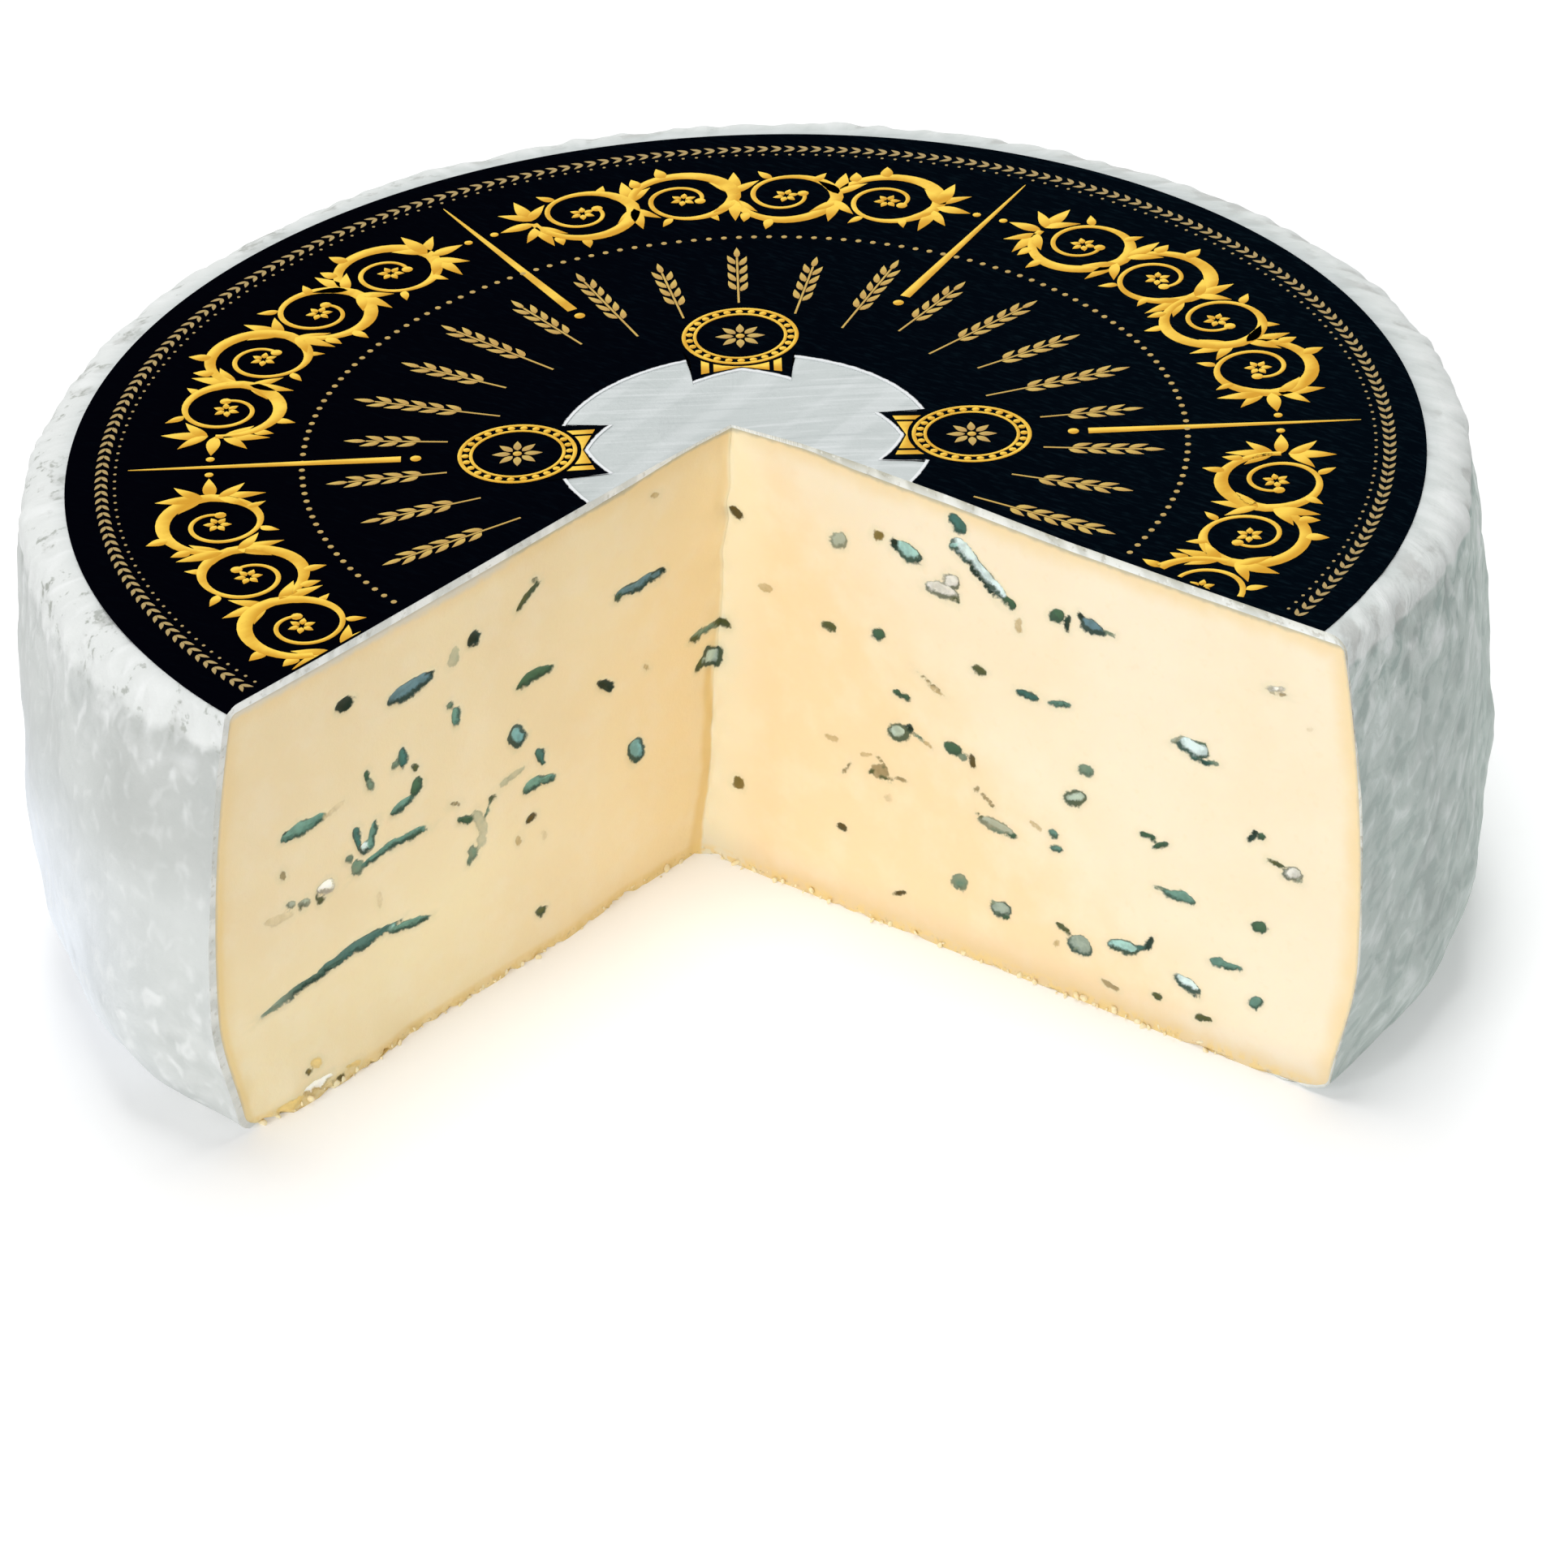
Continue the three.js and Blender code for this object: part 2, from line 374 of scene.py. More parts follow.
@dataclass
class Profile:
    """Outline of a drum with a bellied wall, a rounded foot and a rounded shoulder."""

    base: float
    top: float
    belly: float
    belly_level: float
    swell: float
    foot_reach: float
    foot_rise: float
    shoulder_reach: float
    shoulder_drop: float
    tuck: float = 0.0

    def radius(self, level):
        """Distance of the wall from the axis at a level."""
        wall = self.belly - self.swell * ((level - self.belly_level) / (WHEEL_HEIGHT / 2)) ** 2
        wall = wall - self.tuck * smooth(TUCK_RISE, 0, level)
        foot = np.clip(1 - (level - self.base) / self.foot_rise, 0, 1)
        shoulder = np.clip(1 - (self.top - level) / self.shoulder_drop, 0, 1)
        wall = wall - self.foot_reach * (1 - np.sqrt(1 - foot**2))
        return wall - self.shoulder_reach * (1 - np.sqrt(1 - shoulder**2))


# The wall leans in over this height above the foot, where the knife went through
TUCK_RISE = 22.0
# Skin that is left round the edge of a cut
CUT_SKIN_RIGHT = 0.4
CUT_SKIN_LEFT = 1.15
# How far from a cut the wall and the shoulder are drawn in, and the levels where the shoulder
# begins
CUT_DRAG = 11.0
SHOULDER_DRAG = 22.0
SHOULDER_START = (60, 68)
# The paste is smaller than at a cut by this much, once this far from it
PASTE_DRAWN_BACK = 1.6
DRAWN_BACK_OVER = 14
# Steps between points round each end of the wall, and up it
ROUNDING_STEPS = 14
WALL_STEPS = 74

WHEEL = Profile(0.0, RIND_TOP, WHEEL_RADIUS, 28.0, 2.4, 9.9, 15.5, 10.4, 3.6)
PASTE_BASE = RIND_BELOW
PASTE_TOP = RIND_TOP - RIND_ON_TOP
PASTE_RIGHT = Profile(PASTE_BASE, PASTE_TOP, 98.2, 32.0, 3.0, 7.0, 2.2, 0.9, 0.9, 2.6)
PASTE_LEFT = Profile(PASTE_BASE, PASTE_TOP, 95.0, 34.0, 3.0, 3.2, 2.2, 1.1, 1.1, 2.6)
SKIN_RIGHT = Profile(0.0, RIND_TOP, 98.2 + CUT_SKIN_RIGHT, 32.0, 3.0, 7.0, 2.6, 2.4, 1.8, 2.6)
SKIN_LEFT = Profile(0.0, RIND_TOP, 95.0 + CUT_SKIN_LEFT, 34.0, 3.0, 3.4, 2.6, 2.2, 1.8, 2.6)


def turn_share(angle):
    """0 at the right cut and 1 at the left."""
    return (angle - RIGHT_CUT) / (LEFT_CUT - RIGHT_CUT)


def from_cuts(angle):
    """Distance round the wall from the nearer cut."""
    return np.minimum(angle - RIGHT_CUT, LEFT_CUT - angle) * WHEEL_RADIUS


def paste_radius(level, angle):
    """Radius of the paste, a little smaller where no cut shows it."""
    share = turn_share(angle)
    radius = PASTE_RIGHT.radius(level) * (1 - share) + PASTE_LEFT.radius(level) * share
    return radius - PASTE_DRAWN_BACK * smooth(0, DRAWN_BACK_OVER, from_cuts(angle))


def outer_radius(level, angle):
    """Radius of the rind's outside, drawn in beside the two cuts."""
    wheel = WHEEL.radius(level)
    for cut, skin in ((RIGHT_CUT, SKIN_RIGHT), (LEFT_CUT, SKIN_LEFT)):
        drag = CUT_DRAG + (SHOULDER_DRAG - CUT_DRAG) * smooth(*SHOULDER_START, level)
        near = np.exp(-((angle - cut) * WHEEL_RADIUS / drag) ** 2)
        wheel = wheel + (skin.radius(level) - WHEEL.radius(level)) * near
    return wheel


def wall_levels():
    """Levels up the wall, closer together where it rounds over."""
    quarter = np.linspace(0, math.pi / 2, ROUNDING_STEPS + 1)
    low = WHEEL.foot_rise * (1 - np.cos(quarter))
    high = WHEEL.top - WHEEL.shoulder_drop * (1 - np.sin(quarter))
    middle = np.linspace(low[-1], high[0], WALL_STEPS + 1)[1:-1]
    return np.concatenate([low, middle, high])


def paste_level(level):
    """Level in the paste that answers to a level of the rind's outside."""
    return PASTE_BASE + level * (PASTE_TOP - PASTE_BASE) / WHEEL.top


def apex_at(level):
    """Place of the cut's inner corner at a level or an array of levels."""
    share = np.asarray(level)[..., None] / WHEEL_HEIGHT
    return APEX_FOOT * (1 - share) + APEX_TOP * share


def from_apex(points):
    """Places of points in the plane from the inner corner at their level."""
    return points[..., :2] - apex_at(points[..., 2])


def reach(angle, level, radius):
    """Distance from the inner corner to a circle round the axis, in the direction of angle."""
    apex = apex_at(level)
    along = np.sum(apex * unit(angle), axis=-1)
    return np.sqrt(along**2 - np.sum(apex**2, axis=-1) + radius**2) - along


def wheel_points(angle, level, share, radius):
    """Points at shares of the way from the inner corner to the wall."""
    angle, level, share, radius = np.broadcast_arrays(angle, level, share, radius)
    run = share * reach(angle, level, radius)
    return at_level(apex_at(level) + run[..., None] * unit(angle), level)


@dataclass
class Cut:
    """One knife cut, with what wear and the knife have done to its lower edge."""

    angle: float
    side: int
    seed: int
    # Distance from the inner corner and how far the foot of the face stands out there
    flare: tuple
    # Broken places of the lower edge: middle, half length and height
    scraps: tuple
    # Mean height and unevenness of the frayed lower edge
    fray: tuple
    # Distance from the inner corner and how far the top edge has sunk there
    sunk: tuple

    @property
    def inward(self):
        """Direction from the face into the cheese."""
        return self.side * np.array([-math.sin(self.angle), math.cos(self.angle)])

    def place(self, points):
        """Distance along the face from the inner corner, and depth behind it."""
        offset = from_apex(points)
        return offset @ unit(self.angle), offset @ self.inward


LEFT = Cut(
    angle=LEFT_CUT,
    side=-1,
    seed=5,
    flare=(
        (0, -1.5), (15, -1.3), (27, -0.1), (58, 0.1), (66, 1.3), (81, 1.4), (88, 0.0), (96, 0.0),
    ),
    scraps=(
        (11, 1.4, 0.8), (17, 1.6, 1.1), (23, 2.2, 0.7), (31, 1.2, 1.0), (38.5, 1.5, 1.1),
        (46, 1.3, 0.8), (55, 2.6, 0.8), (63.4, 1.4, 1.4), (70, 1.2, 0.9), (82, 1.2, 1.0),
    ),
    fray=(0.5, 0.85),
    sunk=((0, 0.0), (15, -0.5), (36, -0.2), (55, 0.15), (74, 0.45), (88, 0.5), (97, 0.45)),
)
RIGHT = Cut(
    angle=RIGHT_CUT,
    side=1,
    seed=6,
    flare=((0, -0.9), (12, -0.7), (50, -0.4), (100, -0.2)),
    scraps=(
        (4, 2.0, 0.6), (14, 3.0, 0.4), (27.5, 2.2, 0.7), (46, 2.4, 0.5), (66, 3.0, 0.6),
        (83, 2.0, 0.7),
    ),
    fray=(0.4, 0.55),
    sunk=((0, 0.0), (14, -0.9), (36, -0.65), (55, 0.0), (75, 0.1), (100, 0.0)),
)
FLARE_RISE = 8.0
SCRAP_SLOPE = 1.5
WEAR_DEPTH = 7.0
SAG_FADE = 16.0
SAG_LEVELS = (40, 70)
CORNER_FADE = 5.0
# The paste rises into thinner skin from the first to the second distance from the inner corner,
# and down to this depth
THIN_WITHIN = (24.0, 6.0)
THIN_DEPTH = 14


def settle(points):
    """Moves points as the cheese has worn: frayed lower edges, wavy corner, sunken top edges."""
    moved = points.copy()
    level = points[..., 2]
    for cut in (LEFT, RIGHT):
        along, depth = cut.place(points)
        near = np.exp(-np.maximum(depth, 0) / WEAR_DEPTH) * (np.abs(depth) < 6 * WEAR_DEPTH)
        flare = np.interp(along, *np.array(cut.flare).T) * np.exp(-((level / FLARE_RISE) ** 2))
        ragged = layered(pair(along, depth * 0.2), (1.0, 2.4, cut.seed), (0.6, 0.9, cut.seed + 1))
        height = cut.fray[0] + cut.fray[1] * ragged
        for middle, half, tall in cut.scraps:
            scrap = tall * (1 - ((along - middle) / half) ** 2) + 0.25 * ragged
            height = np.maximum(height, scrap)
        low = np.clip(1 - level / np.maximum(height, 0.05), 0, 1)
        push = SCRAP_SLOPE * np.maximum(height, 0) * low - flare
        push = push * near * smooth(-1.5, 1.5, along)
        moved[..., :2] += push[..., None] * cut.inward
        fade = np.exp(-((np.maximum(depth, 0) / SAG_FADE) ** 2))
        sunk = np.interp(along, *np.array(cut.sunk).T) * fade
        moved[..., 2] -= sunk * smooth(*SAG_LEVELS, level)
    corner = np.exp(-np.sum(from_apex(points) ** 2, axis=-1) / CORNER_FADE**2)
    for axis in (0, 1):
        wobble = layered(points[..., 2:], (0.24, 8.0, 21 + axis), (0.22, 2.6, 23 + axis))
        moved[..., axis] += wobble * corner
    return moved


def thin_top(points):
    """Raises the paste's top near the inner corner, where the skin over it is thin."""
    moved = points.copy()
    lift = (RIND_ON_TOP - RIND_AT_CORNER) * smooth(*THIN_WITHIN, distance(from_apex(points)))
    moved[..., 2] += lift * smooth(PASTE_TOP - THIN_DEPTH, PASTE_TOP, points[..., 2])
    return moved


def wave_relief(angle, level):
    """Height of the rind's broad lumps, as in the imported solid."""
    fade = np.sqrt(np.clip(np.sin(math.pi * level / WHEEL_HEIGHT), 0, 1))
    return fade * sum(
        tall * np.sin(around * angle + up * 2 * math.pi * level / WHEEL_HEIGHT + phase)
        for tall, around, up, phase in RIND_WAVES
    )


def make_piece(name, material, nodes, points, faces, fields, sharp_degrees=35.0):
    """A piece of the part from points in mm round the wheel's axis.

    It has a material slot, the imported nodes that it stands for, and point or face attributes.
    """
    mesh = bpy.data.meshes.new(name)
    places = np.asarray(points) * MM + np.array(AXIS)
    mesh.from_pydata(places.tolist(), [], faces)
    for key, values in fields.items():
        values = np.asarray(values, dtype=np.float32)
        kind, part = ("FLOAT", "value") if values.ndim == 1 else ("FLOAT_VECTOR", "vector")
        domain = "POINT" if len(values) == len(places) else "FACE"
        mesh.attributes.new(key, kind, domain).data.foreach_set(part, values.ravel())
    mesh.polygons.foreach_set("use_smooth", [True] * len(mesh.polygons))
    mesh.set_sharp_from_angle(angle=math.radians(sharp_degrees))
    mesh.update()
    mesh.materials.append(material)
    piece = add_object(name, mesh)
    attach(piece, "root")
    if nodes:
        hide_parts(*nodes)


def grid_faces(table):
    """Quads between the rows and columns of a table of point numbers."""
    table = np.asarray(table)
    quads = np.stack([table[:-1, :-1], table[:-1, 1:], table[1:, 1:], table[1:, :-1]], axis=-1)
    return quads.reshape(-1, 4).tolist()


# Veins of the cut faces

# How each kind of vein looks: colours of its rim and its middle, strength, and in mm the depth of
# its hollow and the width of its rim
VEIN_KINDS = {
    "deep": ((0.016, 0.034, 0.019), (0.009, 0.021, 0.009), 1.0, 0.4, 0.45),
    "dark": ((0.056, 0.098, 0.050), (0.062, 0.142, 0.075), 1.0, 0.45, 0.42),
    "sea": ((0.042, 0.090, 0.066), (0.062, 0.180, 0.150), 1.0, 0.45, 0.4),
    "teal": ((0.056, 0.110, 0.076), (0.170, 0.330, 0.262), 1.0, 0.5, 0.34),
    "stroke": ((0.044, 0.088, 0.064), (0.082, 0.180, 0.155), 1.0, 0.5, 0.34),
    "milk": ((0.062, 0.095, 0.060), (0.42, 0.69, 0.63), 1.0, 0.5, 0.5),
    "pool": ((0.046, 0.086, 0.064), (0.195, 0.40, 0.405), 1.0, 0.45, 0.78),
    "pale": ((0.066, 0.102, 0.076), (0.76, 0.90, 0.88), 1.0, 0.55, 0.48),
    "slate": ((0.042, 0.070, 0.054), (0.135, 0.245, 0.280), 1.0, 0.5, 0.5),
    "ring": ((0.105, 0.125, 0.066), (0.52, 0.62, 0.50), 1.0, 0.45, 0.75),
    "eye": ((0.078, 0.096, 0.050), (0.47, 0.56, 0.47), 1.0, 0.08, 0.70),
    "loop": ((0.195, 0.195, 0.132), (0.82, 0.80, 0.72), 1.0, 0.4, 0.42),
    "white": ((0.48, 0.43, 0.33), (1.0, 0.97, 0.88), 1.0, 0.35, 0.4),
    "haze": ((0.110, 0.170, 0.108), (0.118, 0.220, 0.152), 0.9, 0.3, 0.4),
    "mist": ((0.21, 0.22, 0.14), (0.40, 0.45, 0.35), 0.92, 0.25, 0.4),
    "olive": ((0.102, 0.106, 0.036), (0.098, 0.108, 0.032), 1.0, 0.35, 0.5),
    "brown": ((0.110, 0.070, 0.013), (0.105, 0.068, 0.010), 1.0, 0.3, 0.5),
    "amber": ((0.235, 0.170, 0.050), (0.215, 0.155, 0.038), 1.0, 0.3, 0.5),
    "dusty": ((0.070, 0.100, 0.070), (0.38, 0.46, 0.38), 1.0, 0.5, 0.48),
    "tan": ((0.30, 0.225, 0.10), (0.29, 0.21, 0.085), 0.88, 0.15, 0.4),
    "faint": ((0.43, 0.30, 0.11), (0.41, 0.28, 0.10), 0.68, 0.1, 0.4),
    "smoke": ((0.36, 0.37, 0.24), (0.36, 0.37, 0.25), 0.70, 0.1, 0.3),
    "trace": ((0.50, 0.38, 0.18), (0.50, 0.38, 0.18), 0.35, 0.05, 0.3),
    "streak": ((0.038, 0.076, 0.054), (0.090, 0.165, 0.125), 1.0, 0.5, 0.30),
    "gash": ((0.66, 0.47, 0.18), (1.0, 0.99, 0.96), 1.0, 0.4, 0.16),
    "gold": ((0.80, 0.58, 0.20), (0.80, 0.57, 0.19), 0.8, 0.05, 0.4),
}
# Colour and strength that a streak takes on towards its thin end
STREAK_TAIL = (0.20, 0.31, 0.26)
TAIL_STRENGTH = 0.7
# How far the pale middle of a vein is moved up the face, as a share of the vein's width, which
# leaves a thicker dark rim below as painted shade in the hollow; how much of the unevenness it
# takes, and the least share of the vein that it fills
CORE_SHIFT = 0.05
CORE_WARP = 0.7
CORE_LEAST = 0.3
# Columns of the numbers that say how a vein looks
LOOK_RIM, LOOK_MIDDLE, LOOK_STRENGTH, LOOK_DEPTH = slice(0, 3), slice(3, 6), 6, 7
LOOK_SIZE = 8
# In mm: the distance that counts as far from any vein, and about how long a cut face is
FAR_FROM_VEIN = 3.0
FACE_LENGTH = 90.0

# Veins of each kind: distance from the inner corner, height, length, width, tilt in degrees, bend
LEFT_VEINS = {
    "slate": [(17.0, 52.8, 10.0, 2.0, 3), (60.2, 57.3, 8.9, 2.8, -3)],
    "deep": [
        (13.0, 53.1, 2.8, 1.5, 6), (49.1, 59.6, 2.6, 2.4, 0), (57.4, 57.7, 3.4, 1.5, 0),
        (72.7, 61.0, 3.3, 2.4, 15), (82.6, 44.9, 2.0, 1.4, 3), (22.5, 39.4, 4.0, 1.6, 42),
    ],
    "dark": [
        (20.8, 52.6, 2.2, 1.2, 3), (36.7, 47.9, 6.9, 2.1, 0), (68.0, 47.0, 2.2, 1.0, 70),
        (58.5, 40.8, 2.8, 2.3, -60), (58.4, 33.1, 3.4, 1.0, -6), (48.7, 30.5, 3.5, 1.2, 20),
        (49.8, 30.8, 1.4, 0.9, 20),
    ],
    "olive": [
        (39.0, 61.2, 4.8, 1.2, -31), (37.5, 63.0, 1.6, 0.8, 60), (59.0, 44.0, 1.9, 1.0, 50),
        (75.9, 31.3, 1.5, 1.2, 0), (76.6, 32.2, 1.3, 0.6, 70), (79.4, 31.9, 1.1, 0.7, 30),
        (43.9, 31.7, 1.7, 1.4, 0), (5.1, 38.8, 2.6, 1.2, 12), (0.3, 39.3, 2.4, 1.6, 0),
        (3.1, 33.6, 2.8, 2.0, -62), (32.8, 7.4, 2.8, 2.0, 10),
    ],
    "smoke": [
        (52.6, 58.6, 2.2, 3.0, 0), (45.6, 25.6, 2.4, 1.8, 60), (46.0, 28.9, 5.6, 2.0, 62),
        (40.2, 33.4, 5.4, 1.1, -10),
    ],
    "teal": [
        (51.6, 48.7, 3.4, 1.7, 80), (79.3, 44.7, 8.7, 2.2, 3), (61.3, 39.1, 4.6, 1.9, -8),
        (66.5, 36.9, 4.6, 1.5, -80), (62.5, 33.2, 13.6, 1.4, -2, 0.8), (36.0, 30.0, 4.0, 2.3, 8),
        (33.2, 29.4, 4.0, 1.4, 22), (59.0, 18.7, 8.4, 1.6, 13),
    ],
    "haze": [
        (52.6, 50.7, 2.4, 1.2, 35), (62.7, 46.4, 1.8, 1.4, 0), (67.3, 45.4, 2.4, 1.4, 60),
        (70.6, 35.2, 1.8, 1.2, 60), (69.0, 33.0, 3.4, 2.4, 60), (47.1, 24.4, 2.8, 1.5, 60),
        (47.6, 23.4, 1.8, 1.2, -60), (44.6, 30.2, 3.0, 0.7, -58), (2.8, 39.1, 5.6, 1.3, 2),
    ],
    "faint": [(14.8, 65.4, 2.2, 0.9, 20), (38.4, 21.8, 1.8, 1.1, 60), (14.5, 38.4, 1.8, 0.9, 50)],
    "sea": [(61.3, 46.6, 3.6, 1.9, 78), (69.3, 37.8, 4.6, 1.4, 78), (34.9, 34.2, 3.6, 1.6, 62)],
    "tan": [(83.0, 38.8, 1.9, 0.9, 60), (51.0, 34.2, 2.6, 0.9, 25)],
    "pale": [(67.7, 35.5, 2.4, 2.0, 20)],
    "milk": [(69.6, 33.4, 1.5, 1.3, 0), (61.9, 19.6, 2.6, 1.3, 40)],
    "white": [(74.9, 32.9, 3.6, 2.6, 20)],
    "mist": [(78.9, 32.4, 2.4, 1.5, 20), (81.4, 33.3, 2.0, 1.1, 25)],
    "trace": [
        (83.6, 32.0, 6.0, 1.6, 14), (33.1, 20.2, 1.5, 0.9, 60), (74.4, 44.7, 4.2, 1.1, -14),
        (64.8, 25.6, 3.0, 0.8, 80),
    ],
    "brown": [(36.0, 24.5, 2.3, 1.4, 5)],
    "pool": [(15.5, 25.7, 5.0, 3.3, 50), (39.6, 39.4, 5.0, 3.3, 62)],
    "eye": [(1.05, 33.9, 5.1, 3.3, 38)],
    "stroke": [(68.4, 20.0, 16.0, 1.85, -2, 0.3)],
    "streak": [(78.4, 18.9, 17.0, 1.45, -6)],
    "gold": [(76.6, 5.6, 2.3, 1.3, 15), (81.6, 1.5, 4.4, 1.2, -4), (70.2, 2.0, 3.0, 0.8, 8)],
    "amber": [(78.0, 4.9, 1.3, 1.0, 20), (73.0, 1.2, 2.6, 0.7, -4)],
    "gash": [(76.6, 2.2, 6.0, 1.7, -4)],
}
RIGHT_VEINS = {
    "olive": [
        (0.6, 39.1, 2.4, 1.4, -8), (18.0, 57.2, 1.4, 0.7, -40), (38.3, 55.6, 2.1, 1.0, -20),
        (18.3, 44.7, 2.5, 1.6, 10), (43.5, 46.2, 2.7, 1.4, -5), (47.4, 26.0, 1.4, 0.6, -40),
        (27.6, 24.4, 2.7, 0.8, 30), (29.4, 24.9, 2.1, 0.8, -60), (29.6, 23.8, 2.8, 0.6, -6),
        (46.0, 23.3, 2.8, 0.7, -40), (92.7, 33.3, 3.0, 0.9, -8), (60.7, 10.8, 3.0, 1.2, -20),
        (84.2, 4.9, 2.6, 1.2, 12), (76.6, 5.6, 1.8, 1.3, 0),
    ],
    "eye": [(-0.85, 33.2, 4.6, 3.2, 46)],
    "brown": [
        (1.3, 57.3, 2.5, 1.5, -15), (18.2, 44.6, 1.5, 0.9, 10), (43.5, 31.6, 2.5, 1.3, -70),
        (23.1, 13.6, 1.9, 1.5, 0), (33.4, 6.2, 2.7, 0.9, 18),
    ],
    "mist": [(18.9, 58.0, 3.1, 2.8, 0), (75.4, 46.7, 3.0, 0.9, 40), (48.0, 23.0, 6.4, 1.9, -4)],
    "haze": [
        (19.2, 58.1, 1.6, 1.2, 60), (37.8, 58.3, 1.4, 0.7, 60), (63.1, 59.0, 2.4, 0.9, 0),
        (81.2, 45.2, 2.6, 0.8, 10), (34.6, 32.4, 2.0, 0.7, -25), (41.8, 31.9, 2.2, 1.0, -30),
        (48.6, 22.2, 3.0, 0.6, -12), (61.7, 36.8, 2.8, 2.2, 0), (75.6, 22.9, 2.6, 0.8, 8),
        (96.2, 32.2, 1.8, 0.6, -30), (43.1, 11.8, 2.8, 2.7, 0), (42.6, 12.4, 1.5, 1.0, 20),
        (49.3, 9.6, 2.8, 1.1, -65), (62.6, 8.4, 2.0, 1.1, -40), (79.9, 9.9, 2.2, 0.8, 20),
    ],
    "amber": [(25.3, 61.0, 1.9, 1.5, 0), (5.0, 14.3, 2.5, 2.3, 30)],
    "milk": [(29.9, 60.1, 5.5, 2.6, -9), (37.9, 63.8, 2.2, 1.8, 50), (70.6, 11.6, 5.6, 2.6, 10)],
    "deep": [
        (28.0, 60.4, 2.2, 2.1, 0), (31.6, 59.2, 2.3, 0.9, -20), (42.2, 60.0, 6.8, 0.9, -35),
        (56.4, 58.2, 2.5, 1.0, 90), (58.5, 60.0, 1.7, 1.4, -30), (32.7, 33.2, 2.0, 1.4, 0),
        (88.6, 36.2, 2.4, 1.2, 70), (74.5, 13.4, 3.2, 1.2, 72),
    ],
    "sea": [
        (37.9, 66.8, 3.3, 2.2, -25), (51.5, 45.1, 4.1, 1.3, 0), (78.9, 44.8, 4.4, 0.8, -4),
        (72.6, 11.8, 3.4, 1.2, 35),
    ],
    "pale": [
        (39.4, 63.2, 5.4, 2.5, -31), (43.0, 60.6, 9.6, 1.85, -33), (77.8, 46.1, 5.4, 2.7, 0),
        (81.0, 9.3, 4.6, 2.4, -14),
    ],
    "dark": [
        (47.1, 58.2, 2.8, 1.5, -28), (26.5, 46.1, 2.5, 2.1, 10), (57.6, 45.8, 1.5, 0.8, 17),
        (54.8, 58.9, 2.8, 2.0, 0), (78.9, 47.1, 2.4, 0.9, 6), (30.4, 38.0, 1.8, 1.5, 0),
        (31.8, 37.8, 1.9, 1.3, 20), (40.2, 32.6, 3.1, 1.8, -12), (50.8, 22.4, 2.2, 1.1, 0),
        (61.4, 37.1, 1.5, 1.2, 0), (72.6, 30.2, 2.8, 1.1, 0), (74.6, 29.6, 3.2, 1.1, 35),
        (90.0, 36.5, 1.8, 1.2, 20), (51.2, 9.0, 2.0, 0.9, 30), (91.2, 22.5, 2.6, 2.0, 30),
    ],
    "loop": [(36.0, 56.1, 6.2, 2.3, 2), (37.7, 58.0, 3.0, 2.5, 20), (95.2, 32.8, 3.5, 2.4, 20)],
    "faint": [
        (48.8, 55.2, 2.2, 1.1, 90), (7.2, 46.9, 2.4, 1.4, 0), (36.9, 40.6, 3.4, 0.6, -20),
        (36.2, 31.8, 2.4, 0.7, -25), (20.1, 27.1, 2.6, 1.1, 0), (26.1, 26.6, 2.4, 0.7, 20),
        (54.6, 25.4, 2.2, 0.8, -10), (59.9, 8.0, 1.5, 0.9, 80),
    ],
    "teal": [
        (56.5, 45.6, 3.6, 1.1, 17), (57.6, 25.1, 2.0, 1.4, 0), (58.3, 22.9, 2.4, 1.2, 0),
        (78.3, 22.7, 5.4, 1.8, 3), (86.4, 14.6, 5.2, 1.6, 8), (92.0, 10.6, 2.8, 1.9, 40),
    ],
    "tan": [
        (35.4, 41.7, 4.4, 0.6, -24), (90.0, 59.0, 2.6, 0.5, 6), (46.7, 26.6, 3.1, 0.8, -35),
        (44.7, 27.6, 1.3, 0.8, 50), (23.1, 23.3, 2.8, 0.8, 58), (28.6, 24.8, 3.6, 2.0, 10),
        (28.9, 26.3, 3.0, 0.7, -32), (31.8, 24.7, 2.4, 0.7, 12), (5.3, 14.6, 1.2, 1.0, 30),
        (69.0, 4.4, 3.0, 1.0, -10),
    ],
    "slate": [(60.3, 59.0, 4.6, 2.3, -12)],
    "white": [(89.4, 59.6, 3.0, 1.0, 12)],
    "trace": [(95.4, 55.5, 1.0, 0.8, 40), (30.3, 20.9, 1.8, 1.1, 30)],
    "ring": [(31.1, 31.8, 4.3, 3.1, 38), (60.5, 31.8, 3.8, 2.5, 32)],
    "dusty": [(50.2, 10.0, 3.8, 3.0, 25), (63.7, 9.2, 4.1, 3.2, 10)],
}


def vein_warp(along, level, seed):
    """Unevenness of the outlines: two shifts of the outline and two of the middle."""
    flat = pair(along, level)
    return [layered(flat, (0.30, 2.1, seed + k), (0.14, 1.1, seed + 4 + k)) for k in range(4)]


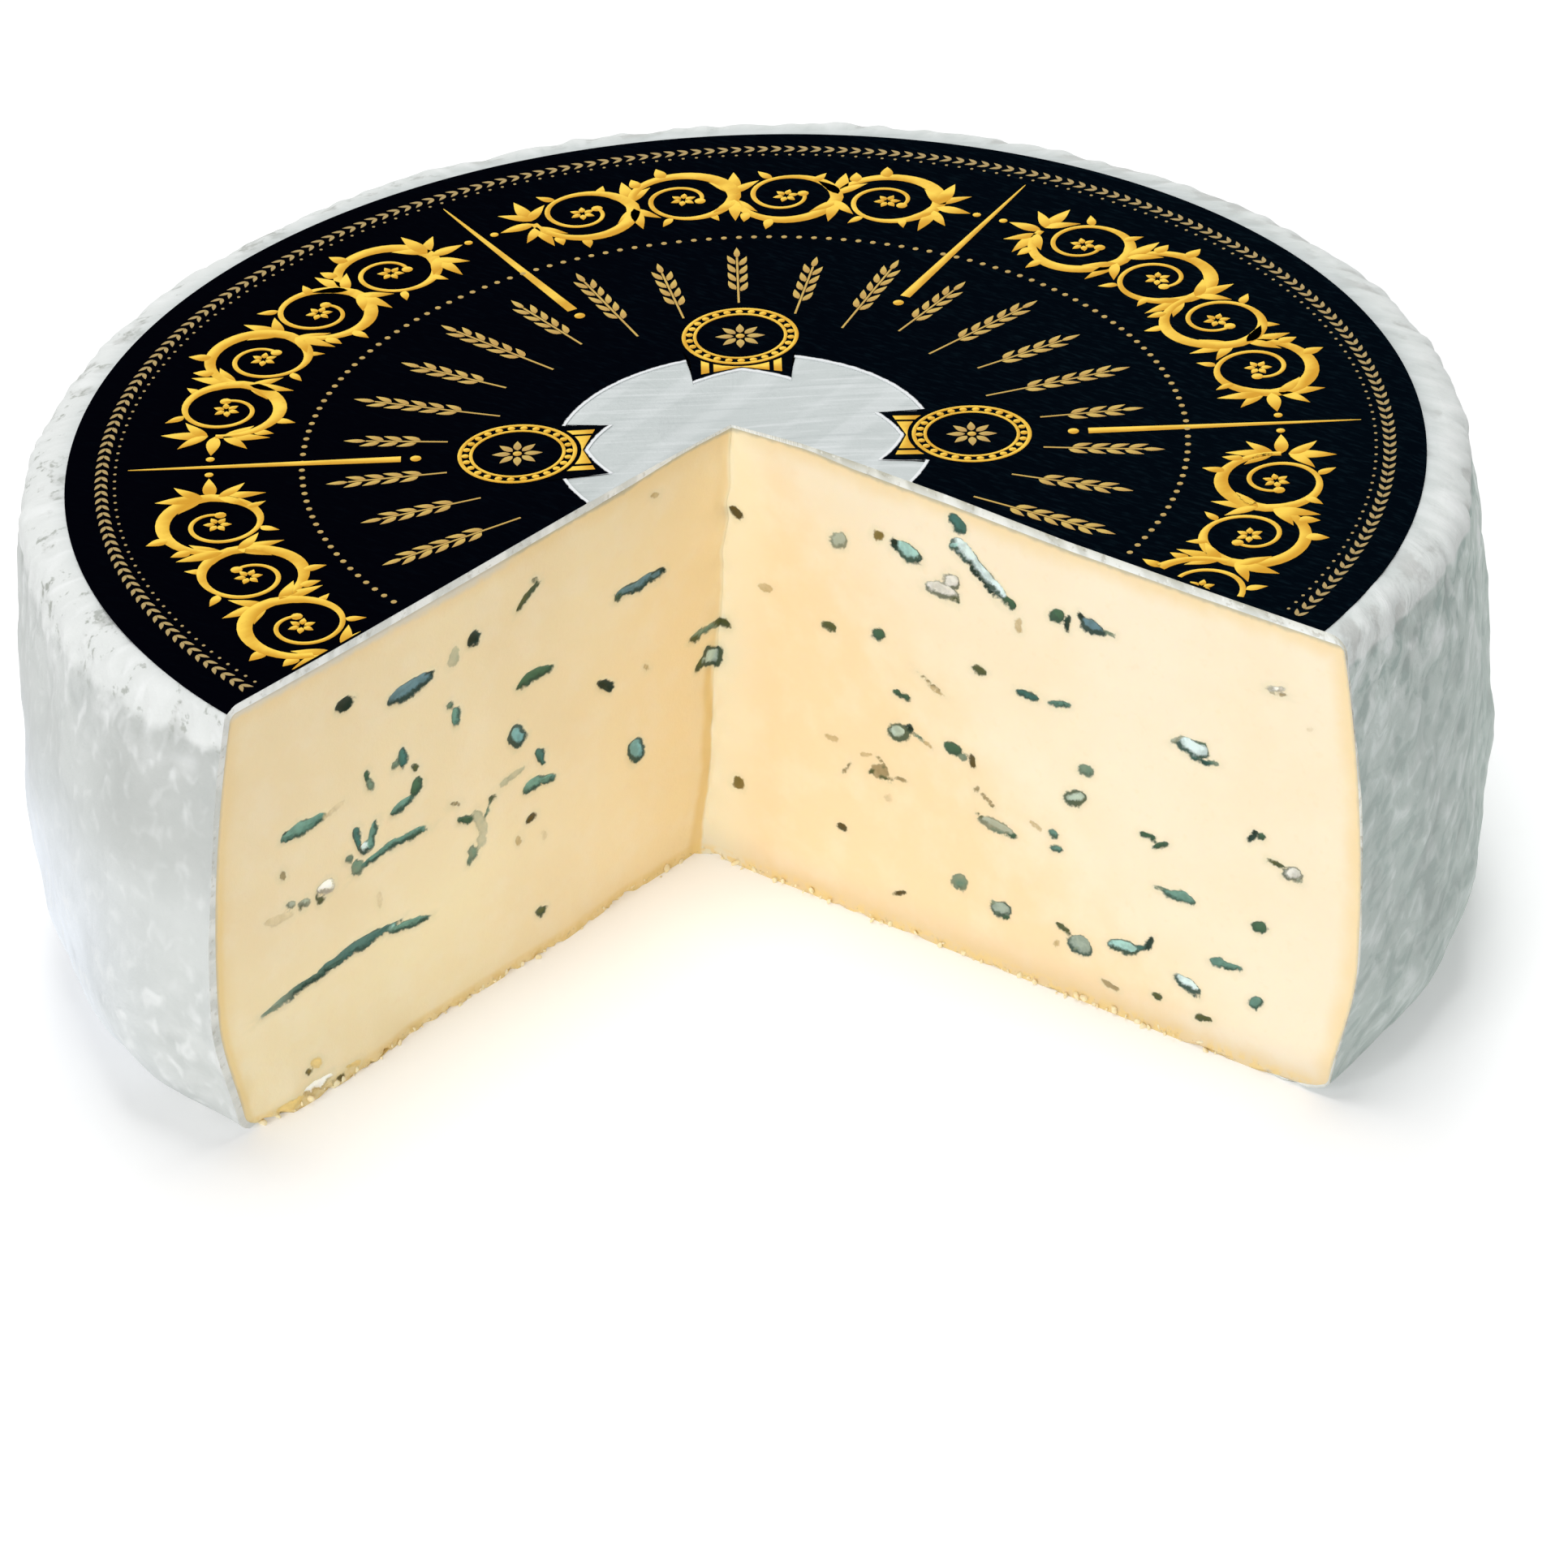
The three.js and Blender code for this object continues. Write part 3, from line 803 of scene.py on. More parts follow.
def vein_fields(along, level, veins, seed):
    """Signed distances to the nearest vein's outline and to its middle, and how that vein looks."""
    warp = vein_warp(along, level, seed)
    edge = np.full(along.shape, FAR_FROM_VEIN)
    core = np.full(along.shape, FAR_FROM_VEIN)
    look = np.zeros((*along.shape, LOOK_SIZE))
    drawn = [(kind, *vein) for kind, some in veins.items() for vein in some]
    for kind, place, height, length, width, tilt, *bend in drawn:
        rim_colour, middle_colour, strength, depth, rim = VEIN_KINDS[kind]
        turn = math.radians(tilt)
        kept = min(1.0, 0.45 + 0.3 * width)
        still = vein_warp(place, height, seed)
        across = along + kept * (warp[0] - still[0]) - place
        up = level + kept * (warp[1] - still[1]) - height
        x = forward = across * math.cos(turn) + up * math.sin(turn)
        y = up * math.cos(turn) - across * math.sin(turn)
        if bend:
            y = y - bend[0] * (0.5 - (2 * x / length) ** 2)
        half = np.array([length, width]) / 2
        gap = ellipse_gap(x, y, half)
        closer = gap < edge
        edge = np.where(closer, gap, edge)
        inner = np.maximum(half - rim, CORE_LEAST * half)
        # The middle is moved up, leaving painted shade as a thicker dark rim below
        shift = CORE_SHIFT * width
        x, y = x + CORE_WARP * warp[2] + shift, y + CORE_WARP * warp[3] - shift
        middle = ellipse_gap(x, y, inner)
        core = np.where(closer, middle, core)
        look[closer] = (*rim_colour, *middle_colour, strength, depth)
        if kind == "streak":
            tail = (smooth(0.0, half[0], forward) * closer)[..., None]
            faded = np.array([*STREAK_TAIL, *STREAK_TAIL, TAIL_STRENGTH, depth])
            look = look * (1 - tail) + faded * tail
    return edge, core, look


def ellipse_gap(x, y, half):
    """Distance outside an ellipse's outline, less than 0 inside."""
    ratio = np.hypot(x / half[0], y / half[1])
    slope = np.hypot(x / half[0] ** 2, y / half[1] ** 2)
    return ratio * (ratio - 1) / np.maximum(slope, 1e-6)


# Paste

PASTE_STEP = 0.42
PASTE_BACK_COLUMNS = 48
# Rows that the paste shares with the rind at its foot and at its shoulder
FOOT_ROWS = 8
SHOULDER_ROWS = 12
LIP_SHARE = 0.04
# Middle of the paste's flat foot and top
HUB = np.array([0.0, 40.0])


def paste_piece(material):
    """The cheese inside the rind: two finely modelled cut faces and a hidden back."""
    levels = np.linspace(PASTE_BASE, PASTE_TOP, int((PASTE_TOP - PASTE_BASE) / PASTE_STEP))
    turned = wall_levels()
    turned = paste_level(np.concatenate([turned[:FOOT_ROWS], turned[-SHOULDER_ROWS:]]))
    levels = np.unique(np.concatenate([levels, turned]).round(2))
    steps = int(WHEEL_RADIUS / PASTE_STEP)
    shares = np.linspace(0, 1, steps + 1)
    back = np.linspace(RIGHT_CUT, LEFT_CUT, PASTE_BACK_COLUMNS + 1)
    angle = np.concatenate([np.full(steps, RIGHT_CUT), back, np.full(steps - 1, LEFT_CUT)])
    share = np.concatenate([shares[:-1], np.ones(back.size), shares[-2:0:-1]])
    level = levels[:, None]
    radius = paste_radius(level, angle)
    points = wheel_points(angle, level, share, radius)
    right = np.arange(angle.size) < steps
    left = np.arange(angle.size) >= steps + back.size
    edge = np.full(points.shape[:2], FAR_FROM_VEIN)
    core = edge.copy()
    look = np.zeros((*edge.shape, LOOK_SIZE))
    along = np.full(edge.shape, FACE_LENGTH)
    moved = thin_top(settle(points))
    for columns, cut, veins in ((right, RIGHT, RIGHT_VEINS), (left, LEFT, LEFT_VEINS)):
        face = points[:, columns]
        place, _ = cut.place(face)
        height = face[..., 2]
        seed = 10 * cut.seed
        outline, middle, kinds = vein_fields(place, height, veins, seed)
        edge[:, columns], core[:, columns], look[:, columns] = outline, middle, kinds
        along[:, columns] = place
        flat = pair(place, height)
        swell = layered(flat, (0.10, 9.0, seed + 5), (0.05, 3.2, seed + 6))
        nicks = 0.35 * lattice_noise(flat, 1.8, seed + 7) * np.exp(-place / 1.5)
        hollow = 0.55 * smooth(0.15, -0.5, outline) + 0.45 * smooth(0.3, -0.3, middle)
        hollow = hollow * kinds[..., LOOK_DEPTH]
        rim = np.minimum((1 - share[columns]) * FACE_LENGTH, PASTE_TOP - height)
        uneven = (swell + nicks) * smooth(0, 0.6, rim) * smooth(0, 0.7, place)
        depth = hollow * smooth(-0.4, 0.6, rim) + uneven
        moved[:, columns, :2] += depth[..., None] * cut.inward
        droop = smooth(1.4, 0, height - PASTE_BASE) * smooth(0.0, 0.05, 1 - share[columns])
        moved[:, columns, 2] -= RIND_BELOW * droop
    from_ends = np.minimum(level - PASTE_BASE, PASTE_TOP - level)
    wall = np.minimum((1 - share) * reach(angle, level, radius), from_ends)
    numbers = np.arange(edge.size).reshape(edge.shape)
    closed = np.concatenate([numbers, numbers[:, :1]], axis=1)
    lip = moved[0].copy()
    lip[:, :2] += (HUB - lip[:, :2]) * LIP_SHARE
    lip[:, 2] = PASTE_BASE
    lip_row = np.append(np.arange(angle.size) + edge.size, edge.size)
    faces = grid_faces(np.stack([lip_row, closed[0]])) + grid_faces(closed)
    count = edge.size + angle.size
    for row, middle, turn in ((lip_row, count, -1), (closed[-1], count + 1, 1)):
        faces += [[middle, *ends[::turn]] for ends in zip(row[:-1].tolist(), row[1:].tolist())]
    middles = np.array([[*HUB, PASTE_BASE], [*HUB, PASTE_TOP]])

    def field(values, rest=0.0):
        """A field of the grid's points, and of the hidden ones that follow them."""
        more = values.shape[2:]
        hidden = np.full((angle.size + 2, *more), rest)
        return np.concatenate([values.reshape(edge.size, *more), hidden])

    fields = {
        "vein_edge": field(edge, FAR_FROM_VEIN),
        "vein_core": field(core, FAR_FROM_VEIN),
        "vein_rim": field(look[..., LOOK_RIM]),
        "vein_middle": field(look[..., LOOK_MIDDLE]),
        "vein_strength": field(look[..., LOOK_STRENGTH]),
        "from_rind": field(wall),
        "from_base": field(np.broadcast_to(level, edge.shape) - PASTE_BASE),
        "from_corner": field(along, FACE_LENGTH),
        "on_left": field(np.broadcast_to(left, edge.shape)),
    }
    points = np.concatenate([moved.reshape(-1, 3), lip, middles])
    make_piece("paste", material, ["cheese_wheel"], points, faces, fields)


# Rind

RIND_COLUMNS = 640
RIND_INNER_COLUMNS = 64
# Top of the wheel: the level it lies above, its radius, and those over which the skin turns bare
TOP_LEVEL = 60
TOP_RADIUS = 91.5
BARE_TOP = (94, 88)
FLAT_FADE = 6.0
BASE_SETBACK = 1.6
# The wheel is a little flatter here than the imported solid: angle, spread, level, height, depth
HOLLOW = (math.radians(-8), math.radians(26), 27.0, 20.0, 1.2)
# The rind is brushed on the wheel's right: none of it at the first angle and all at the second
BRUSHED = (math.radians(190), math.radians(70))
# Levels over which the shoulder's rough lumps and its pleats begin
ROUGH_LEVELS = (55, 66)
PLEAT_LEVELS = (62, 66)
# The shoulder's pale band: levels of its start and its end, and how much higher where brushed
BAND_START = (61.0, 4.5)
BAND_END = (67.4, 0.6)
# Brushed folds: slant in mm round the wheel for each mm up the wall, and how they are drawn out
FOLD_SLANT = 1.2
FOLD_STRETCH = 0.5


def sheet_points(radius, columns, levels, low, high):
    """Points of a rind surface from the foot's inner corner to the top's, and their places."""
    level = np.concatenate([np.full(low.size, levels[0]), levels, np.full(high.size, levels[-1])])
    share = np.concatenate([low, np.ones(levels.size), high[::-1]])
    angle = np.linspace(RIGHT_CUT, LEFT_CUT, columns + 1)
    level, share, angle = level[:, None], share[:, None], angle[None, :]
    return wheel_points(angle, level, share, radius(level, angle)), angle, level, share


def set_back(points, share):
    """Keeps the underside's skin a little behind the cut faces, except close to the wall."""
    moved = points.copy()
    for cut in (LEFT, RIGHT):
        _, depth = cut.place(points)
        push = np.maximum(BASE_SETBACK - depth, 0) * smooth(1.0, 0.94, share)
        push = push * (points[..., 2] <= PASTE_BASE) * (depth > -1)
        moved[..., :2] += push[..., None] * cut.inward
    return moved


def skin_relief(outer, angle, up, level):
    """Height of the skin's lumps, folds and pleats, and from 0 to 1 how far each is a crest."""
    radius = distance(outer)
    turn = np.arctan2(outer[..., 1], outer[..., 0])
    around = angle * WHEEL_RADIUS
    on_wall = smooth(-FLAT_FADE, FLAT_FADE, radius - TOP_RADIUS) * smooth(0.0, 5.0, outer[..., 2])
    side = smooth(*BRUSHED, angle)
    shoulder = smooth(*ROUGH_LEVELS, level) * (1 - side)
    lean = pair(around - FOLD_SLANT * up, FOLD_STRETCH * (up + FOLD_SLANT * around))
    lean = lean / math.hypot(1, FOLD_SLANT)
    broad = 0.30 * lattice_noise(outer, 15, 11) + 0.22 * lattice_noise(outer * [1, 1, 0.6], 7, 12)
    folds = layered(lean, (0.22, 2.6, 13), (0.09, 1.5, 15))
    lumps = 0.14 * lattice_noise(pair(around, 0.45 * up), 3.4, 18)
    grain = layered(outer, (0.17, 3.2, 14), (0.13, 1.8, 16))
    pleat = 0.24 * lattice_noise(pair(around - 0.7 * up, 0.3 * up), 2.3, 17)
    fine = folds * side + lumps * (1 - side) + grain * (0.55 + 0.1 * side + 1.25 * shoulder)
    pleats = pleat * (0.4 + 0.6 * side) + (0.6 * grain - 0.5 * folds) * side
    fine = fine + pleats * smooth(*PLEAT_LEVELS, level)
    middle, spread, height, rise, depth = HOLLOW
    hollow = depth * np.exp(-(((angle - middle) / spread) ** 2) - ((level - height) / rise) ** 2)
    relief = wave_relief(turn, outer[..., 2]) - hollow + (broad + fine) * on_wall
    from_cut = from_cuts(angle)
    relief = relief * (0.3 + 0.7 * smooth(0, 12, from_cut))
    relief = np.maximum(relief, -0.3 - 2.0 * smooth(0, 8, from_cut))
    relief = np.minimum(relief, 0.25 + 2.0 * smooth(0, 10, from_cut))
    from_label = distance(outer[..., :2] - LABEL_CENTRE) - LABEL_RADIUS
    beside = np.where(outer[..., 2] > TOP_LEVEL, smooth(0.0, 2.5, from_label), 1.0)
    under = np.minimum(relief, 0.6 * beside) - 0.03 * (1 - beside)
    return np.where(beside < 1, under, relief), np.clip(0.5 + fine / 0.75, 0, 1)


def rind_piece(material):
    """The thin skin all round the wheel, with its lumps, folds and cut edges."""
    low = np.linspace(0, 1, 7)[1:-1]
    high = np.linspace(0, 1, 15)[1:-1] ** 0.8
    levels = wall_levels()
    outer, angle, level, share = sheet_points(outer_radius, RIND_COLUMNS, levels, low, high)
    inner, *_ = sheet_points(paste_radius, RIND_INNER_COLUMNS, paste_level(levels), low, high)
    normal = np.cross(np.gradient(outer, axis=1), np.gradient(outer, axis=0))
    normal /= np.maximum(np.linalg.norm(normal, axis=-1, keepdims=True), 1e-9)
    radius = distance(outer)
    rises = np.linalg.norm(np.diff(outer[:, 0], axis=0), axis=-1)
    run = np.concatenate([[0.0], np.cumsum(rises)])[:, None]
    angle, level, up = np.broadcast_arrays(angle, level, run)
    relief, crest = skin_relief(outer, angle, up, level)
    relief = np.where((share < 1) | (level <= 0), 0.0, relief)
    outer = set_back(settle(outer + relief[..., None] * normal), share)
    inner = set_back(thin_top(settle(inner)), share)
    points = []
    tables = []
    count = 0
    for sheet, base, top in ((outer, 0.0, WHEEL.top), (inner, PASTE_BASE, PASTE_TOP)):
        poles = settle(np.array([[*apex_at(base), base], [*apex_at(top), top]]))
        poles = set_back(poles, np.zeros(2))
        if top == PASTE_TOP:
            poles = thin_top(poles)
        body = np.arange(sheet.shape[0] * sheet.shape[1]).reshape(sheet.shape[:2]) + count + 1
        foot_row = np.full((1, sheet.shape[1]), count)
        top_row = np.full((1, sheet.shape[1]), body[-1, -1] + 1)
        tables.append(np.concatenate([foot_row, body, top_row]))
        points += [poles[:1], sheet.reshape(-1, 3), poles[1:]]
        count = top_row[0, 0] + 1
    outside, inside = tables

    def field(*parts, rest=0.0):
        """One or three numbers for each point of the outer sheet, and the rest for all others."""
        values = np.full((count, len(parts)), rest)
        values[outside[1:-1].ravel()] = np.stack([part.ravel() for part in parts], axis=-1)
        return values if len(parts) > 1 else values[:, 0]

    skin = field(angle * WHEEL_RADIUS, up, 0 * up)
    skin[inside[1:-1], 0] = np.linspace(RIGHT_CUT, LEFT_CUT, RIND_INNER_COLUMNS + 1) * WHEEL_RADIUS
    skin[inside[1:-1], 1] = run
    on_top = field(smooth(*BARE_TOP, radius) * (outer[..., 2] > TOP_LEVEL))
    on_top[outside[-1, 0]] = 1.0
    side = smooth(*BRUSHED, angle)
    start, end = (low + more * side for low, more in (BAND_START, BAND_END))
    from_left = LEFT_CUT - angle
    # Painted bluish light low on the wall away from the left cut, and painted shade high beside
    # that cut
    painted_light = smooth(math.radians(3), math.radians(24), from_left) * smooth(52, 20, level)
    shade = smooth(math.radians(17), math.radians(8), from_left) * smooth(36, 48, level)
    rough = 0.48 + 0.14 * side + (0.52 - 0.14 * side) * smooth(50, 64, level)
    rough = rough + 0.40 * (1 - side) * smooth(36, 16, level)
    sheets = grid_faces(outside) + grid_faces(inside[:, ::-1])
    strips = grid_faces(pair(inside[:, 0], outside[:, 0]))
    strips += grid_faces(pair(outside[:, -1], inside[:, -1]))
    fields = {
        "skin": skin,
        "on_top": on_top,
        "on_shoulder": field(smooth(start, end, level)),
        "crest": field(crest, rest=0.5),
        "brushed": field(side),
        "tone": field(painted_light * (1 - side), shade, rough),
        "cut_edge": np.append(np.zeros(len(sheets)), np.ones(len(strips))),
    }
    points = np.concatenate(points)
    faces = [list(dict.fromkeys(face)) for face in sheets + strips]
    make_piece("rind", material, ["cheese_wheel"], points, faces, fields, 62.0)


# Label

PAPER_THICKNESS = 0.18
PAPER_EDGE = 0.4
WINDOW_RADIUS = 25.0
# Tabs that reach into the window: half width, and how near the middle their notched ends come
TAB_HALF = 7.0
TAB_END = 20.9
TAB_NOTCH = 0.3
TAB_TURNS = (0.0, math.pi / 2, math.pi)
# Share of the paper's width that a tab draws with it
TAB_PULL = 0.14
PAPER_GAP = 0.02
LABEL_ROWS = 44
LABEL_COLUMNS = 420


def top_level(flat):
    """Level of the wheel's top or shoulder under points seen from above."""
    radius = distance(flat)
    angle = np.arctan2(flat[..., 1], flat[..., 0])
    angle = np.where(angle < (RIGHT_CUT + LEFT_CUT) / 2 - math.pi, angle + 2 * math.pi, angle)
    low = np.full(radius.shape, WHEEL.top - WHEEL.shoulder_drop)
    high = np.full(radius.shape, WHEEL.top)
    for _ in range(22):
        middle = (low + high) / 2
        outside = outer_radius(middle, angle) > radius
        low = np.where(outside, middle, low)
        high = np.where(outside, high, middle)
    return high


def on_label(flat, lift):
    """Points on the label's upper face, lifted by some height, from points seen from above."""
    flat = np.asarray(flat, dtype=float)
    points = settle(at_level(flat, top_level(flat)))
    points[..., 2] += PAPER_THICKNESS + lift
    return points


def cut_turn(radius, cut):
    """Angle round the label's middle at which a circle meets a cut."""
    offset = APEX_TOP - LABEL_CENTRE
    along = offset @ unit(cut)
    run = np.sqrt(along**2 - offset @ offset + radius**2) - along
    meet = offset + run[..., None] * unit(cut)
    turn = np.arctan2(meet[..., 1], meet[..., 0])
    return np.where(turn < -math.pi / 2, turn + 2 * math.pi, turn)


def tab_end(across):
    """Distance of a tab's notched end from the label's middle."""
    return TAB_END - TAB_NOTCH * np.abs(across)


def window_edge(turn):
    """Radius of the label's window at each angle, and how much the angle spreads within a tab."""
    radius = np.full(turn.shape, WINDOW_RADIUS)
    middle = np.zeros(turn.shape)
    for tab in TAB_TURNS:
        off = np.angle(np.exp(1j * (turn - tab)))
        inside = np.abs(off) * WINDOW_RADIUS < TAB_HALF
        radius = np.where(inside, tab_end(off * WINDOW_RADIUS), radius)
        middle = np.where(inside, off, middle)
    return radius, middle


def label_piece(material):
    """The printed paper ring, a thin closed sheet that lies on the rind."""
    width = LABEL_RADIUS - WINDOW_RADIUS
    share = np.linspace(0, 1, LABEL_ROWS + 1)
    share = np.sort(np.append(share, [PAPER_EDGE / width, 2 * PAPER_EDGE / width]))[:, None]
    sweep = np.linspace(0, 1, LABEL_COLUMNS + 1)[None, :]
    base = WINDOW_RADIUS + width * share
    start = cut_turn(base, RIGHT_CUT)
    turn = start + (cut_turn(base, LEFT_CUT) - start) * sweep
    edge, off = window_edge(turn)
    radius = base - (WINDOW_RADIUS - edge) * smooth(TAB_PULL, 0.0, share)
    turn = turn + off * np.maximum(WINDOW_RADIUS / radius - 1, 0)
    flat = LABEL_CENTRE + radius[..., None] * unit(turn)
    upper = on_label(flat, 0.0)
    lower = on_label(flat, PAPER_GAP - PAPER_THICKNESS)
    size = upper.shape[0] * upper.shape[1]
    top = np.arange(size).reshape(upper.shape[:2])
    loop = np.concatenate([top[0, :-1], top[:-1, -1], top[-1, :0:-1], top[:0:-1, 0]])
    loop = np.append(loop, loop[0])
    faces = grid_faces(top[:, ::-1]) + grid_faces(top + size)
    faces += grid_faces(np.stack([loop, loop + size]))
    inner = np.broadcast_to(width * share, upper.shape[:2]).ravel()
    points = np.concatenate([upper.reshape(-1, 3), lower.reshape(-1, 3)])
    fields = {"from_window": np.append(inner, inner), "across": points[:, 0]}
    make_piece("label", material, ["top_label"], points, faces, fields)


# Ink on the label

# Heights over the paper in mm: of a shape's foot and face, and from one layer to the next
INK_FOOT = 0.005
INK_HEIGHT = 0.03
INK_STEP = 0.004
INK_LAYERS = 7
CUT_MARGIN = 0.25
# Direction in which the gold is brighter
LIGHT_SIDE = np.array([-0.45, 0.89])
# How bright each kind of shape is printed
BOLD = 1.0
SEAL = 0.9
SPIKE = 0.7
BEAD = 0.5
EAR = 0.35


def cheese_side(flat):
    """How far points seen from above lie inside the nearer cut edge."""
    offset = flat - APEX_TOP
    left = offset @ np.array([math.sin(LEFT_CUT), -math.cos(LEFT_CUT)])
    right = offset @ np.array([-math.sin(RIGHT_CUT), math.cos(RIGHT_CUT)])
    return np.maximum(left, right)


def leaf_outline(root, turn, length, width, curl, steps):
    """Outline of a pointed leaf from root in a direction, bent sideways by curl."""
    share = np.linspace(0, 1, steps + 1)
    half = pair(0 * share, width / 2 * np.sin(math.pi * share**0.75))
    spine = pair(share * length, curl * length * share**2)
    outline = np.concatenate([spine - half, (spine + half)[-2:0:-1]])
    along, across = unit(turn), unit(turn + math.pi / 2)
    return np.asarray(root) + outline[:, :1] * along + outline[:, 1:] * across


def disc_outline(radius, sides):
    return radius * unit(np.arange(sides) / sides * 2 * math.pi)


class Ink:
    """Flat shapes printed on the label, each a thin closed solid, draped together at the end."""

    def __init__(self):
        self.flats = []
        self.lifts = []
        self.faces = []
        self.shine = []
        self.tone = []
        self.count = 0
        self.layer = 0
        self.place = lambda flat: flat

    def solid(self, flat, quads, border, shine, tone=None):
        """A thin solid from points seen from above, its upper faces, and its border's loop."""
        self.layer = (self.layer + 1) % INK_LAYERS
        size = len(flat)
        if tone is None:
            lean = (flat - flat.mean(axis=0)) @ LIGHT_SIDE
            tone = 0.5 + 0.5 * lean / max(np.abs(lean).max(), 1e-6)
        self.flats += [flat, flat]
        self.lifts += [np.full(size, INK_HEIGHT + INK_STEP * self.layer), np.full(size, INK_FOOT)]
        start = self.count
        self.faces += [[start + k for k in face] for face in quads]
        self.faces += [[start + size + k for k in reversed(face)] for face in quads]
        for k, m in zip(border, border[1:] + border[:1]):
            self.faces.append([start + k, start + k + size, start + m + size, start + m])
        self.shine += [shine] * (2 * size)
        self.tone += [tone, tone]
        self.count += 2 * size

    def piece(self, material):
        """The piece of all the shapes, lying on the label."""
        points = on_label(np.concatenate(self.flats), np.concatenate(self.lifts))
        fields = {"shine": self.shine, "tone": np.concatenate(self.tone)}
        make_piece("gold_ornament", material, [], points, self.faces, fields, 20.0)

    def ring_of(self, motif, radius, pitch, shine, material):
        """Repeats a flat motif, with x outwards, along an arc between the cuts."""
        start = float(cut_turn(np.array(radius), RIGHT_CUT)) + pitch / radius
        stop = float(cut_turn(np.array(radius), LEFT_CUT)) - pitch / radius
        count = round((stop - start) * radius / pitch)
        outline = np.asarray(motif, dtype=float)
        size = len(outline)
        mesh = bpy.data.meshes.new("motif")
        mesh.from_pydata([(x, y, 0.0) for x, y in outline], [], [list(range(size))])
        sizes = {"Radius": radius, "Count": count, "Start": start, "Sweep": stop - start}
        growth = Growth("ornament_ring", **sizes, Material=material)
        arc = growth.node("GeometryNodeCurveArc", {"mode": "RADIUS"}, {
            "Resolution": 256,
            "Radius": growth["Radius"],
            "Start Angle": growth["Start"],
            "Sweep Angle": growth["Sweep"],
        })
        sockets = {"Curve": arc, "Count": growth["Count"]}
        arc = growth.node("GeometryNodeResampleCurve", None, sockets)
        index = Sum(growth, growth.node("GeometryNodeInputIndex"))
        share = index.math("DIVIDE", Sum(growth, growth["Count"]) - 1.0)
        turn = growth["Start"] + share * growth["Sweep"]
        placed = growth.repeat(growth["Geometry"], arc, growth.combine(Z=turn))
        _, places = growth.grow(placed, mesh)
        flat = LABEL_CENTRE + places[:, :2]
        loop = list(range(size))
        for start in range(0, len(flat), size):
            self.solid(flat[start:start + size], [loop], loop, shine)

    def patch(self, outline, shine):
        """A filled outline, given counter-clockwise, trimmed at the cut edges."""
        flat = self.place(np.asarray(outline, dtype=float))
        after = np.roll(flat, -1, axis=0)
        if np.sum(flat[:, 0] * after[:, 1] - flat[:, 1] * after[:, 0]) < 0:
            flat = flat[::-1]
        inside = cheese_side(flat) - CUT_MARGIN
        if inside.max() <= 0:
            return
        if inside.min() < 0:
            kept = []
            for k in range(len(flat)):
                a, b = inside[k - 1], inside[k]
                if (a < 0) != (b < 0):
                    kept.append(flat[k - 1] + (flat[k] - flat[k - 1]) * a / (a - b))
                if b >= 0:
                    kept.append(flat[k])
            flat = np.array(kept)
        loop = list(range(len(flat)))
        if len(loop) > 2:
            self.solid(flat, [loop], loop, shine)

    def stroke(self, line, widths, shine):
        """A ribbon along a line, in pieces where the cut edges break it."""
        line = np.asarray(line, dtype=float)
        widths = np.broadcast_to(widths, len(line))
        tangent = np.gradient(line, axis=0)
        tangent /= np.maximum(np.linalg.norm(tangent, axis=1, keepdims=True), 1e-9)
        side = pair(-tangent[:, 1], tangent[:, 0]) * widths[:, None] / 2
        left, right = self.place(line + side), self.place(line - side)
        inside = np.minimum(cheese_side(left), cheese_side(right)) > CUT_MARGIN
        start = 0
        while start < len(line):
            stop = start
            while stop < len(line) and inside[stop]:
                stop += 1
            if stop - start > 1:
                self.ribbon(left[start:stop], right[start:stop], shine)
            start = stop + 1

    def ribbon(self, left, right, shine):
        """A strip between two lines, one side of it brighter than the other."""
        size = len(left)
        if np.cross(left[1] - left[0], right[0] - left[0]) > 0:
            left, right = right, left
        quads = [[k, size + k, size + k + 1, k + 1] for k in range(size - 1)]
        border = list(range(size, 2 * size)) + list(range(size - 1, -1, -1))
        side = left - right
        side = side / np.maximum(np.linalg.norm(side, axis=1, keepdims=True), 1e-9)
        lean = 0.5 * side @ LIGHT_SIDE
        tone = np.concatenate([0.5 + lean, 0.5 - lean])
        self.solid(np.concatenate([left, right]), quads, border, shine, tone)

    def disc(self, middle, radius, shine, sides=14):
        self.patch(np.asarray(middle) + disc_outline(radius, sides), shine)

    def ring(self, middle, radius, width, shine, sides):
        turn = np.linspace(0, 2 * math.pi, sides + 1)
        self.stroke(np.asarray(middle) + radius * unit(turn), width, shine)

    def leaf(self, root, turn, length, width, curl, shine, steps=7):
        self.patch(leaf_outline(root, turn, length, width, curl, steps), shine)


def round_label(middle_turn, middle_radius):
    """Maps a straight strip to an arc of the label: x along the arc, y outwards."""
    def place(flat):
        turn = middle_turn - flat[:, 0] / middle_radius
        return LABEL_CENTRE + (middle_radius + flat[:, 1])[:, None] * unit(turn)
    return place


def outward(turn, radius):
    """Maps a strip whose x runs outwards along a spoke, from some radius."""
    def place(flat):
        along, across = unit(turn), unit(turn + math.pi / 2)
        return LABEL_CENTRE + (radius + flat[:, :1]) * along + flat[:, 1:] * across
    return place


SECTORS = 6
BAND_RADIUS = 71.6
VOLUTES = 4
VOLUTE_RADIUS = 7.3
VOLUTE_END = 0.34
NEEDLE_FROM = 44.0
NEEDLE_TO = 82.5
EARS = 30
GRAIN_PITCH = 2.5
SEAL_RADIUS = 30.4
SEAL_RING = 7.0
SEAL_BEADS = 26
SEAL_HALF = 0.75
SEAL_GAP = 0.85
# Wreath at the label's edge with its beads, and the beads inside the band: radius and pitch
WREATH = (86.0, 1.9)
WREATH_BEADS = (84.2, 1.9)
BAND_BEADS = (59.2, 2.1)
